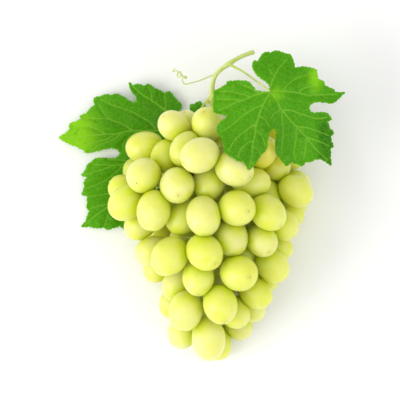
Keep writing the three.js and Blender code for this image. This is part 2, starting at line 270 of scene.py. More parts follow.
@dataclass(frozen=True)
class GrapeSkin:
    """Thin translucent skin over wet flesh: a waxy bloom that also carries a painted highlight, painted
    crevice shade, pale dots and a brown blossom scar.
    """

    name: str = "grape_skin"
    flesh: Colour = (0.68, 0.70, 0.075)
    sunny: Colour = (0.74, 0.72, 0.21)
    shaded: Colour = (0.66, 0.72, 0.018)
    # Painted crevice shade and glow, partly bare skin without bloom.
    crevice_shade_and_bare_skin: Colour = (0.60, 0.70, 0.004)
    # Colour of the waxy bloom, also used for the painted highlight.
    bloom_and_highlight: Colour = (0.82, 0.80, 0.54)
    golden: Colour = (0.80, 0.68, 0.002)
    scar: Colour = (0.30, 0.22, 0.05)
    scar_ring: Colour = (0.50, 0.52, 0.06)
    dot: Colour = (0.42, 0.40, 0.10)
    depth: float = 22.0 * MM
    dot_spacing: float = 3.4 * MM

    def make(self) -> bpy.types.Material:
        """Mixes the skin's tones, bloom, painted highlight, painted crevice shade, dots and scar.

        Returns:
            The finished material.
        """
        s = Shader(self.name)
        along, tone, touch = s.layer(Layer.ALONG), s.layer(Layer.TONE), s.layer(Layer.TOUCH)
        colour = s.mix(tone, self.shaded, self.sunny)
        colour = s.mix(s.ramp(s.noise(70.0, 2.0), 0.35, 0.7, 0.0, 0.55), colour, self.flesh)
        veins = s.ramp(s.cells(300.0, "DISTANCE_TO_EDGE"), 0.0, 0.12, 0.06, 0.0)
        colour = s.mix(veins, colour, self.bloom_and_highlight)
        dusty = s.math("MULTIPLY", s.ramp(s.noise(85.0, 3.0, 0.5, 0.3), 0.34, 0.72), 0.24)
        colour = s.mix(dusty, colour, self.bloom_and_highlight)
        # Painted highlight: the bloom is paler away from where berries touch, more so on sunny-toned berries,
        # standing in for each berry's lit side; partly the real bloom, which contact rubs off.
        open_bloom_and_highlight = s.math("MULTIPLY", s.ramp(touch, 0.0, 0.45, 0.28, 0.0), s.ramp(tone, 0.1, 0.9, 0.25, 1.0))
        colour = s.mix(open_bloom_and_highlight, colour, self.bloom_and_highlight)
        # Painted crevice shade and glow: darker, more saturated yellow-green where berries touch, partly the
        # bare skin where the bloom is rubbed off.
        colour = s.mix(touch, colour, self.crevice_shade_and_bare_skin)
        # More golden about one place, under the right leaf.
        colour = s.mix(s.math("MULTIPLY", s.layer(Layer.GOLDEN_PATCH), 0.75), colour, self.golden)
        dots = s.ramp(s.cells(1.0 / self.dot_spacing), 0.05, 0.10, 0.28, 0.0)
        colour = s.mix(dots, colour, self.dot)
        spot = s.math("ADD", along, s.math("MULTIPLY", s.noise(900.0, 2.0), 0.0012))
        scar = s.ramp(spot, 0.9991, 0.9997)
        ring = s.ramp(along, 0.955, 0.992, 0.0, 0.22)
        colour = s.mix(ring, colour, self.scar_ring)
        colour = s.mix(scar, colour, self.scar)
        s.set(Base_Color=colour, Subsurface_Weight=1.0, Subsurface_Radius=(1.0, 0.9, 0.07),
              Subsurface_Scale=self.depth, Subsurface_Anisotropy=0.5, IOR=1.45, Specular_IOR_Level=0.1,
              Coat_Weight=0.5, Coat_Roughness=0.40, Coat_IOR=2.0)
        s.set(Roughness=s.math("ADD", s.ramp(dusty, 0.0, 0.24, 0.36, 0.50), s.math("MULTIPLY", scar, 0.3)))
        fine = s.bump(s.noise(1500.0, 2.0), 0.03 * MM, 0.35)
        s.set(Normal=s.bump(dots, 0.05 * MM, 0.5, fine))
        return s.material


@dataclass(frozen=True)
class LeafBlade:
    """A vine leaf's face: green between pale veins, with painted light and shade, satin, with light passing
    through.
    """

    name: str
    shaded_and_mottled_green: Colour = (0.020, 0.140, 0.0006)
    fresh: Colour = (0.070, 0.300, 0.001)
    highlight_green: Colour = (0.270, 0.600, 0.006)
    vein: Colour = (0.290, 0.560, 0.045)
    gloss: float = 0.42
    web_spacing: float = 3.4 * MM
    web_strength: float = 0.22
    relief: float = 0.22 * MM

    def make(self) -> bpy.types.Material:
        """Mixes the greens of the painted light and shade and lays the veins' net over them.

        Returns:
            The finished material.
        """
        s = Shader(self.name)
        vein, shade, edge = s.layer(Layer.VEIN), s.layer(Layer.SHADE), s.layer(Layer.EDGE)
        patch = s.ramp(s.noise(90.0, 4.0, 0.6), 0.36, 0.66)
        # Painted light and shade: the shade share runs from the darkest green through the mid green to the
        # brightest.
        colour = s.mix(s.ramp(shade, 0.0, 0.5), self.shaded_and_mottled_green, self.fresh)
        colour = s.mix(s.ramp(shade, 0.5, 1.0), colour, self.highlight_green)
        colour = s.mix(s.math("MULTIPLY", patch, 0.25), colour, self.fresh)
        # Darker mottles at random.
        colour = s.mix(s.ramp(s.noise(300.0, 3.0, 0.6), 0.5, 0.75, 0.0, 0.3), colour, self.shaded_and_mottled_green)
        web = s.ramp(s.cells(1.0 / self.web_spacing, "DISTANCE_TO_EDGE"), 0.01, 0.07, 1.0, 0.0)
        fine_web = s.ramp(s.cells(3.1 / self.web_spacing, "DISTANCE_TO_EDGE"), 0.0, 0.14, 1.0, 0.0)
        lines = s.math("ADD", s.math("MULTIPLY", web, self.web_strength), s.math("MULTIPLY", fine_web, 0.05))
        colour = s.mix(lines, colour, self.vein)
        colour = s.mix(s.math("MULTIPLY", vein, 0.55), colour, self.vein)
        # The margin takes some of the brightest green as a paler rim.
        colour = s.mix(s.math("MULTIPLY", edge, 0.35), colour, self.highlight_green)
        s.set(Base_Color=colour, Subsurface_Weight=0.35, Subsurface_Radius=(0.55, 1.0, 0.12),
              Subsurface_Scale=1.6 * MM, IOR=1.42, Specular_IOR_Level=0.16)
        s.set(Roughness=s.ramp(s.noise(400.0, 2.0), 0.3, 0.7, self.gloss - 0.05, self.gloss + 0.1))
        cushions = s.bump(s.math("MULTIPLY", lines, -1.0), self.relief, 0.9)
        s.set(Normal=s.bump(s.noise(2600.0, 2.0), 0.03 * MM, 0.4, cushions))
        return s.material


@dataclass(frozen=True)
class GreenBark:
    """The stem's skin: pale yellow-green with olive streaks and paler dots."""

    name: str = "green_bark"
    fresh: Colour = (0.50, 0.63, 0.12)
    pale: Colour = (0.68, 0.75, 0.28)
    olive: Colour = (0.42, 0.42, 0.07)
    dot: Colour = (0.68, 0.70, 0.34)

    def make(self) -> bpy.types.Material:
        """Mixes the bark's streaks and dots.

        Returns:
            The finished material.
        """
        s = Shader(self.name)
        colour = s.mix(s.ramp(s.noise(120.0, 3.0), 0.32, 0.7), self.fresh, self.pale)
        colour = s.mix(s.ramp(s.noise(60.0, 2.0), 0.52, 0.78, 0.0, 0.6), colour, self.olive)
        dots = s.ramp(s.cells(620.0), 0.10, 0.2, 0.7, 0.0)
        colour = s.mix(dots, colour, self.dot)
        s.set(Base_Color=colour, Subsurface_Weight=0.3, Subsurface_Radius=(1.0, 1.0, 0.25),
              Subsurface_Scale=1.5 * MM, IOR=1.42, Specular_IOR_Level=0.35)
        s.set(Roughness=s.ramp(s.noise(800.0, 2.0), 0.3, 0.7, 0.42, 0.62))
        s.set(Normal=s.bump(dots, 0.08 * MM, 0.6, s.bump(s.noise(1100.0, 3.0), 0.08 * MM, 0.5)))
        return s.material


@dataclass(frozen=True)
class CutWood:
    """The pale wet wood at the cut end of the stem."""

    name: str = "cut_wood"
    pore: Colour = (0.52, 0.55, 0.22)
    wood: Colour = (0.66, 0.70, 0.36)

    def make(self) -> bpy.types.Material:
        """Speckles the wood with pores.

        Returns:
            The finished material.
        """
        s = Shader(self.name)
        colour = s.mix(s.ramp(s.cells(2500.0), 0.1, 0.4), self.pore, self.wood)
        s.set(Base_Color=colour, Roughness=0.7, Subsurface_Weight=0.3, Subsurface_Scale=1.0 * MM)
        s.set(Normal=s.bump(s.noise(3000.0, 2.0), 0.05 * MM, 0.6))
        return s.material


@dataclass(frozen=True)
class TendrilSkin:
    """A thin, smooth, pale green shoot."""

    name: str = "tendril_skin"
    pale: Colour = (0.58, 0.72, 0.30)
    fresh: Colour = (0.62, 0.66, 0.24)

    def make(self) -> bpy.types.Material:
        """Mixes the shoot's two greens.

        Returns:
            The finished material.
        """
        s = Shader(self.name)
        colour = s.mix(s.ramp(s.noise(260.0, 2.0), 0.3, 0.7), self.pale, self.fresh)
        s.set(Base_Color=colour, Subsurface_Weight=0.35, Subsurface_Radius=(0.8, 1.0, 0.3),
              Subsurface_Scale=0.8 * MM, Roughness=0.42, IOR=1.42)
        s.set(Normal=s.bump(s.noise(2400.0, 2.0), 0.03 * MM, 0.5))
        return s.material


# ---------------------------------------------------------------- mesh helpers


def finish_piece(name: str, bm: bmesh.types.BMesh, materials: Sequence[bpy.types.Material],
                 stands_for: str, layers: dict[Layer, np.ndarray] | None = None) -> bpy.types.Object:
    """Turns a bmesh into a finished, smooth-shaded piece on the bunch's body.

    Args:
        name: The piece's name.
        bm: The mesh, in the row frame. It is freed.
        materials: Its materials, in the order of the faces' material indices.
        stands_for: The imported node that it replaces.
        layers: Point attributes, one number a vertex.

    Returns:
        The new object.
    """
    mesh = bpy.data.meshes.new(name)
    bm.to_mesh(mesh)
    bm.free()
    for which, values in (layers or {}).items():
        made = mesh.attributes.new(which.value, "FLOAT", "POINT")
        made.data.foreach_set("value", np.ascontiguousarray(values, dtype=np.float32))
    mesh.shade_smooth()
    for material in materials:
        mesh.materials.append(material)
    piece = bpy.data.objects.new(name, mesh)
    bpy.context.scene.collection.objects.link(piece)
    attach(piece, ROOT)
    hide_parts(stands_for)
    LOG.info("%s: %d faces", name, len(mesh.polygons))
    return piece


def merged_copy(node: str) -> bmesh.types.BMesh:
    """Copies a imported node's mesh and welds its loose triangles together.

    Args:
        node: The node's name.

    Returns:
        The copy.
    """
    bm = bmesh.new()
    bm.from_mesh(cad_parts[node].data)
    bmesh.ops.remove_doubles(bm, verts=bm.verts, dist=WELD)
    return bm


def coordinates(bm: bmesh.types.BMesh) -> np.ndarray:
    """The vertices' places as rows."""
    return np.array([v.co[:] for v in bm.verts])


def place_vertices(bm: bmesh.types.BMesh, places: np.ndarray) -> None:
    """Moves the vertices to the rows' places."""
    for vert, place in zip(bm.verts, places):
        vert.co = place


def smooth_line(points: Sequence[Sequence[float]], spacing: float) -> np.ndarray:
    """Evenly spaced places along a smooth curve through points.

    Args:
        points: The points, in any number of dimensions.
        spacing: The distance between two places.

    Returns:
        The places as rows.
    """
    p = np.array(points, dtype=float)
    p = np.vstack([2 * p[0] - p[1], p, 2 * p[-1] - p[-2]])
    t = np.linspace(0.0, 1.0, 24, endpoint=False)[:, None]
    runs = []
    for a, b, c, d in zip(p, p[1:], p[2:], p[3:]):
        runs.append(0.5 * (2 * b + (c - a) * t + (2 * a - 5 * b + 4 * c - d) * t**2
                           + (3 * b - a - 3 * c + d) * t**3))
    dense = np.vstack(runs + [p[-2:-1]])
    steps = np.linalg.norm(np.diff(dense, axis=0), axis=1)
    run = np.concatenate([[0.0], np.cumsum(steps)])
    count = max(2, int(round(run[-1] / spacing)) + 1)
    wanted = np.linspace(0.0, run[-1], count)
    return np.column_stack([np.interp(wanted, run, dense[:, k]) for k in range(dense.shape[1])])


def from_segment(places: np.ndarray, start: np.ndarray, end: np.ndarray) -> tuple[np.ndarray, np.ndarray]:
    """Measures how far places lie from a straight piece of a line.

    Args:
        places: The places as rows.
        start: One end of the piece.
        end: The other end.

    Returns:
        Each place's distance, and the share of the piece at which it is nearest.
    """
    run = end - start
    share = np.clip((places - start) @ run / max(float(run @ run), 1e-12), 0, 1)
    return np.linalg.norm(places - start - share[:, None] * run, axis=1), share


def from_rim(places: np.ndarray, rim: np.ndarray) -> np.ndarray:
    """Measures how far places lie from a closed line.

    Args:
        places: The places as rows.
        rim: The line's corners as rows.

    Returns:
        Each place's distance.
    """
    away = np.full(len(places), FAR)
    for start, end in zip(rim, np.roll(rim, -1, 0)):
        away = np.minimum(away, from_segment(places, start, end)[0])
    return away


def bell(value: float | np.ndarray, width: float, power: float = 2) -> float | np.ndarray:
    """The height of a smooth hump of height one about zero; a higher power squares its shoulders."""
    return np.exp(-((value / width) ** power))


def sweep(bm: bmesh.types.BMesh, line: np.ndarray, radius: Callable[[float], float], sides: int,
          rib: Callable[[float, float], float] | None = None) -> None:
    """Adds a tube with closed, slightly rounded ends along a line.

    Args:
        bm: The mesh to add to.
        line: Places along the middle.
        radius: The radius at a share of the length.
        sides: Sides of the section.
        rib: A factor on the radius at a share of the length and an angle.
    """
    tangents = np.gradient(line, axis=0)
    tangents /= np.linalg.norm(tangents, axis=1)[:, None]
    side = Vector(tangents[0]).orthogonal().normalized()
    rings = []
    for i, (place, tangent) in enumerate(zip(line, tangents)):
        share = i / (len(line) - 1)
        tangent = Vector(tangent)
        side = (side - tangent * side.dot(tangent)).normalized()
        turn = Matrix((side, tangent.cross(side), tangent)).transposed().to_4x4()
        made = bmesh.ops.create_circle(bm, segments=sides, radius=radius(share), cap_ends=False,
                                       matrix=Matrix.Translation(place) @ turn)["verts"]
        if rib:
            for k, vert in enumerate(made):
                vert.co = Vector(place) + (vert.co - Vector(place)) * rib(share, 2 * math.pi * k / sides)
        rings.append(made)
    loops = [[edge for vert in ring for edge in vert.link_edges] for ring in rings]
    loops = [list(dict.fromkeys(loop)) for loop in loops]
    for below, above in zip(loops, loops[1:]):
        bmesh.ops.bridge_loops(bm, edges=below + above)
    for ring, out in ((rings[0], -tangents[0]), (rings[-1], tangents[-1])):
        cap = bm.faces.new(ring)
        rise = radius(0.0 if ring is rings[0] else 1.0) * 0.25
        bmesh.ops.inset_individual(bm, faces=[cap], thickness=rise)
        bmesh.ops.translate(bm, verts=cap.verts, vec=Vector(out) * rise)
        bmesh.ops.poke(bm, faces=[cap])
    bmesh.ops.recalc_face_normals(bm, faces=bm.faces)


# ---------------------------------------------------------------- berries


@dataclass
class Ellipsoid:
    """A berry's plain shape: a body of revolution about the line from its stalk to its blossom end."""

    centre: np.ndarray
    axis: np.ndarray
    long: float
    wide: float

    @classmethod
    def fitted(cls, points: np.ndarray) -> "Ellipsoid":
        """Finds the ellipsoid that points lie on, leaving out those that don't fit.

        Args:
            points: Places on the surface, as rows.

        Returns:
            The ellipsoid.
        """
        unit, middle, close = 10 * MM, points.mean(0), 0.004
        rows = (points - middle) / unit
        for _ in range(6):
            x, y, z = rows.T
            squares = [x * x, y * y, z * z]
            terms = np.column_stack(squares + [2 * x * y, 2 * x * z, 2 * y * z, 2 * x, 2 * y, 2 * z])
            a, b, c, d, e, f, g, h, i = np.linalg.lstsq(terms, np.ones(len(rows)), rcond=None)[0]
            form = np.array([[a, d, e], [d, b, f], [e, f, c]])
            centre = -np.linalg.solve(form, [g, h, i])
            form = form / (1 + centre @ form @ centre)
            off = np.abs(np.sqrt(np.abs(np.einsum("ij,jk,ik->i", rows - centre, form, rows - centre))) - 1)
            keep = off <= max(close, np.quantile(off, 0.9))
            if keep.all() or off.max() < close:
                break
            rows = rows[keep]
        values, vectors = np.linalg.eigh(form)
        sizes = 1 / np.sqrt(values)
        k = int(np.argmax(np.abs(sizes - np.median(sizes))))
        wide = float(np.delete(sizes, k).mean()) * unit
        return cls(middle + centre * unit, vectors[:, k], float(sizes[k]) * unit, wide)

    def reach(self, towards: np.ndarray) -> float:
        """How far the surface reaches from the centre towards a unit vector."""
        along = float(self.axis @ towards)
        return math.sqrt(self.wide**2 + (self.long**2 - self.wide**2) * along**2)

    def furthest(self, towards: np.ndarray) -> np.ndarray:
        """The surface point that lies furthest towards a unit vector."""
        along = (self.long**2 - self.wide**2) * float(self.axis @ towards)
        return self.centre + (self.wide**2 * towards + along * self.axis) / self.reach(towards)

    def top(self, x: np.ndarray, y: np.ndarray, spread: float) -> np.ndarray:
        """The height of the upper side over places, widened all round by spread, and 0 beside it.

        Args:
            x: The places' x.
            y: The places' y.
            spread: How much wider and taller the berry is taken to be.

        Returns:
            The heights.
        """
        across, along = (self.wide + spread) ** -2, (self.long + spread) ** -2
        form = np.eye(3) * across + np.outer(self.axis, self.axis) * (along - across)
        dx, dy = x - self.centre[0], y - self.centre[1]
        b = form[0, 2] * dx + form[1, 2] * dy
        c = form[0, 0] * dx**2 + 2 * form[0, 1] * dx * dy + form[1, 1] * dy**2 - 1
        inside = b**2 - form[2, 2] * c
        height = self.centre[2] + (-b + np.sqrt(np.maximum(inside, 0))) / form[2, 2]
        return np.where(inside > 0, height, 0.0)


def contact_plane(a: Ellipsoid, b: Ellipsoid) -> tuple[np.ndarray, np.ndarray, float]:
    """Finds where two neighbours face each other.

    Args:
        a: One berry.
        b: The other.

    Returns:
        The point midway between them, the unit vector from a to b, and the space between them.
    """
    way = b.centre - a.centre
    apart = float(np.linalg.norm(way))
    way = way / apart
    for _ in range(8):
        across = b.furthest(-way) - a.furthest(way)
        across = across - way * float(across @ way)
        way = way + across * (0.7 / apart)
        way = way / np.linalg.norm(way)
    space = float((b.centre - a.centre) @ way) - a.reach(way) - b.reach(way)
    return (a.furthest(way) + b.furthest(-way)) / 2, way, space


@dataclass
class BerrySizes:
    """Sizes and forms of the berries' fine shape."""

    swell: float = 0.85 * MM
    segments: int = 48
    rings: int = 34
    rear_segments: int = 32
    rear_rings: int = 22
    pole_crowding: float = 0.16
    contact_gap: float = 0.06 * MM
    softness: float = 0.20 * MM
    floor_gap: float = 0.02 * MM
    scar_angle: float = 0.085
    scar_rise: float = 0.61 * MM
    dimple_angle: float = 0.24
    dimple_depth: float = 0.55 * MM
    pit_angle: float = 0.26
    pit_depth: float = 0.8 * MM
    lumps: float = 0.022
    lump_pitch: float = 1.1
    ripples: float = 0.006
    ripple_pitch: float = 3.0
    taper: float = 0.035
    crease: float = -0.2
    least_island: int = 40
    least_width: float = 0.5
    rub_and_shade_reach: float = 4.5 * MM
    touch_search: float = 45.0 * MM
    golden_patch_place: Flat = (0.049, 0.038)
    golden_patch_reach: float = 13.0 * MM


@dataclass
class Berries:
    """All the berries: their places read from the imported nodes, and their fine skins."""

    sizes: BerrySizes = field(default_factory=BerrySizes)
    core: tuple[Place, ...] = (
        (0.008, 0.070, 0.044), (0.005, 0.040, 0.030), (0.006, 0.010, 0.030),
        (0.009, -0.030, 0.028), (0.008, -0.075, 0.020),
    )
    found: dict[str, list[Ellipsoid]] = field(default_factory=dict)

    def read(self) -> None:
        """Fits an ellipsoid to every berry of every packed berry node."""
        for node in sorted(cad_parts):
            if node.startswith("berry_"):
                bm = merged_copy(node)
                self.found[node] = [Ellipsoid.fitted(coordinates(bm))]
                bm.free()
            elif node.startswith("rear_berries_"):
                self.found[node] = self.split(node)
        for berry in self.all():
            self.face_outwards(berry)
        LOG.info("read %d berries", len(self.all()))

    def split(self, node: str) -> list[Ellipsoid]:
        """Parts a rear group at the creases between its berries and fits each one.

        Args:
            node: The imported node.

        Returns:
            The berries of the group.
        """
        bm = merged_copy(node)
        creases = [e for e in bm.edges if e.is_manifold and e.calc_face_angle_signed() < self.sizes.crease]
        bmesh.ops.split_edges(bm, edges=creases)
        berries, seen = [], set()
        for face in bm.faces:
            if face in seen:
                continue
            island, front = {face}, [face]
            while front:
                for edge in front.pop().edges:
                    for other in edge.link_faces:
                        if other not in island:
                            island.add(other)
                            front.append(other)
            seen |= island
            if len(island) >= self.sizes.least_island:
                points = {v for f in island for v in f.verts if v.co.z > 0.02 * MM}
                fitted = Ellipsoid.fitted(np.array([v.co[:] for v in points]))
                if fitted.wide > self.sizes.least_width * fitted.long:
                    berries.append(fitted)
        bm.free()
        return berries

    def face_outwards(self, berry: Ellipsoid) -> None:
        """Turns a berry's axis so that its blossom end points away from the bunch's core.

        Args:
            berry: The berry, which is changed.
        """
        line = smooth_line(self.core, 4 * MM)
        nearest = line[np.argmin(np.linalg.norm(line - berry.centre, axis=1))]
        if float((berry.centre - nearest) @ berry.axis) < 0:
            berry.axis = -berry.axis

    def all(self) -> list[Ellipsoid]:
        """Every berry, in the nodes' order."""
        return [berry for node in self.found.values() for berry in node]

    def skin(self, berry: Ellipsoid, seed: int,
             front: bool) -> tuple[bmesh.types.BMesh, dict[Layer, np.ndarray]]:
        """Models one berry: an oval with a stalk pit, a blossom scar, slight lumps and pressed sides.

        Args:
            berry: Its plain shape.
            seed: A number of its own, for its lumps and tone.
            front: Whether it may show from above, and so gets the finer mesh.

        Returns:
            The mesh and its point attributes.
        """
        sizes = self.sizes
        bm = bmesh.new()
        bmesh.ops.create_uvsphere(bm, u_segments=sizes.segments if front else sizes.rear_segments,
                                  v_segments=sizes.rings if front else sizes.rear_rings, radius=1.0)
        unit = coordinates(bm)
        unit /= np.linalg.norm(unit, axis=1)[:, None]
        polar = np.arccos(np.clip(unit[:, 2], -1, 1))
        crowd = polar - sizes.pole_crowding * np.sin(2 * polar)
        turn = np.arctan2(unit[:, 1], unit[:, 0])
        unit = np.column_stack([np.cos(turn) * np.sin(crowd), np.sin(turn) * np.sin(crowd), np.cos(crowd)])
        lump = self.unevenness(unit, sizes.lump_pitch, (seed * 3.7, seed * 1.3, 0.0))
        ripple = self.unevenness(unit, sizes.ripple_pitch, (0.0, seed * 2.9, 5.0))
        fullness = 1 + sizes.lumps * lump + sizes.ripples * ripple
        length, width = berry.long + sizes.swell, berry.wide + sizes.swell
        taper = 1 + sizes.taper * math.sin(seed * 12.9) * unit[:, 2]
        shape = np.column_stack([unit[:, 0] * width * taper, unit[:, 1] * width * taper, unit[:, 2] * length])
        shape *= fullness[:, None]
        dimple = sizes.dimple_depth * bell(crowd, sizes.dimple_angle)
        scar = sizes.scar_rise * bell(crowd, sizes.scar_angle, 4)
        pit = sizes.pit_depth * bell(math.pi - crowd, sizes.pit_angle)
        shape[:, 2] += scar - dimple + pit
        tilt = Vector((0, 0, 1)).rotation_difference(Vector(berry.axis)).to_matrix()
        spin = Matrix.Rotation(seed * 2.4, 3, "Z")
        places = shape @ np.array(tilt @ spin).T + berry.centre
        places = self.pressed(places, berry)
        place_vertices(bm, places)
        tone = 0.5 + 0.34 * math.sin(seed * 7.31) + 0.12 * lump
        from_golden_patch = np.linalg.norm(places[:, :2] - sizes.golden_patch_place, axis=1)
        layers = {
            Layer.ALONG: np.cos(crowd),
            Layer.TONE: np.clip(tone, 0, 1),
            Layer.TOUCH: self.touching(places, berry),
            Layer.GOLDEN_PATCH: bell(from_golden_patch, sizes.golden_patch_reach),
        }
        return bm, layers

    @staticmethod
    def unevenness(unit: np.ndarray, pitch: float, start: Place) -> np.ndarray:
        """Smooth noise, about -1 to 1, for each direction, with pitch swellings to a radius."""
        return np.array([noise.noise(Vector(row) * pitch + Vector(start)) for row in unit])

    def neighbours(self, berry: Ellipsoid, reach: float) -> list[Ellipsoid]:
        """Finds the other berries near one.

        Args:
            berry: The berry.
            reach: How near to its centre a neighbour's end comes.

        Returns:
            The neighbours.
        """
        near = []
        for other in self.all():
            if other is not berry and np.linalg.norm(other.centre - berry.centre) <= reach + other.long:
                near.append(other)
        return near

    def touching(self, places: np.ndarray, berry: Ellipsoid) -> np.ndarray:
        """Works out how close another berry lies, which sets where the bloom is rubbed off and where the
        painted crevice shade goes.

        Args:
            places: The berry's vertices.
            berry: Its plain shape.

        Returns:
            A share for each vertex: 1 where another berry touches, falling off around it.
        """
        nearest = np.full(len(places), FAR)
        for other in self.neighbours(berry, self.sizes.touch_search):
            away = places - other.centre
            along = away @ other.axis
            across = np.linalg.norm(away - np.outer(along, other.axis), axis=1)
            space = (np.hypot(along / other.long, across / other.wide) - 1) * other.wide
            nearest = np.minimum(nearest, np.maximum(space, 0))
        return bell(nearest, self.sizes.rub_and_shade_reach, 1.3)

    def pressed(self, places: np.ndarray, berry: Ellipsoid) -> np.ndarray:
        """Flattens a berry softly where it meets its neighbours and the surface it lies on.

        Args:
            places: The berry's vertices.
            berry: Its plain shape.

        Returns:
            The vertices, moved.
        """
        sizes = self.sizes
        planes = [(np.array([0, 0, sizes.floor_gap]), np.array([0.0, 0.0, -1.0]))]
        for other in self.neighbours(berry, berry.long + 2 * MM):
            middle, way, space = contact_plane(berry, other)
            if space < 2 * sizes.swell:
                planes.append((middle - way * sizes.contact_gap / 2, way))
        for point, way in planes:
            depth = (places - point) @ way
            soft = -sizes.softness * np.logaddexp(0, -depth / sizes.softness)
            places = places + np.outer(np.where(depth > -2 * MM, soft - depth, 0), way)
        return places

    def build(self) -> None:
        """Makes a piece for every berry."""
        material = GrapeSkin().make()
        seed = 0
        for node, group in self.found.items():
            front = node.startswith("berry_")
            for k, berry in enumerate(group, 1):
                seed += 1
                bm, layers = self.skin(berry, seed, front)
                name = node.replace("berry", "grape") if front else f"{node.replace('berries', 'grape')}_{k}"
                finish_piece(name, bm, [material], node, layers)


# ---------------------------------------------------------------- leaves


@dataclass(frozen=True)
class Vein:
    """One vein: its line from the thick end to the thin one, and its half width at each."""

    line: tuple[Flat, ...]
    start: float
    end: float

    def half(self, share: np.ndarray) -> np.ndarray:
        """The half width in metres at shares of the length."""
        return (self.start + (self.end - self.start) * share) * MM


@dataclass
class LeafSizes:
    """Sizes and forms shared by both leaves."""

    spacing: float = 0.62 * MM
    margin_step: float = 0.6 * MM
    margin_noise: float = 0.12 * MM
    small_tooth: float = 0.5 * MM
    tooth_spacing: float = 2.6 * MM
    thickness: float = 0.34 * MM
    cushion: float = 0.85 * MM
    cushion_reach: float = 2.6 * MM
    vein_sink: float = 0.11 * MM
    vein_fade: float = 0.35 * MM
    ripple: float = 1.5 * MM
    ripple_reach: float = 6.0 * MM
    pucker: float = 0.26 * MM
    berry_gap: float = 1.15 * MM
    tooth_swell: float = 0.07
    drape_rounds: int = 260
    drape_pull: float = 0.65
    vein_colour_fade: float = 0.30 * MM
    edge_colour_fade: float = 0.9 * MM


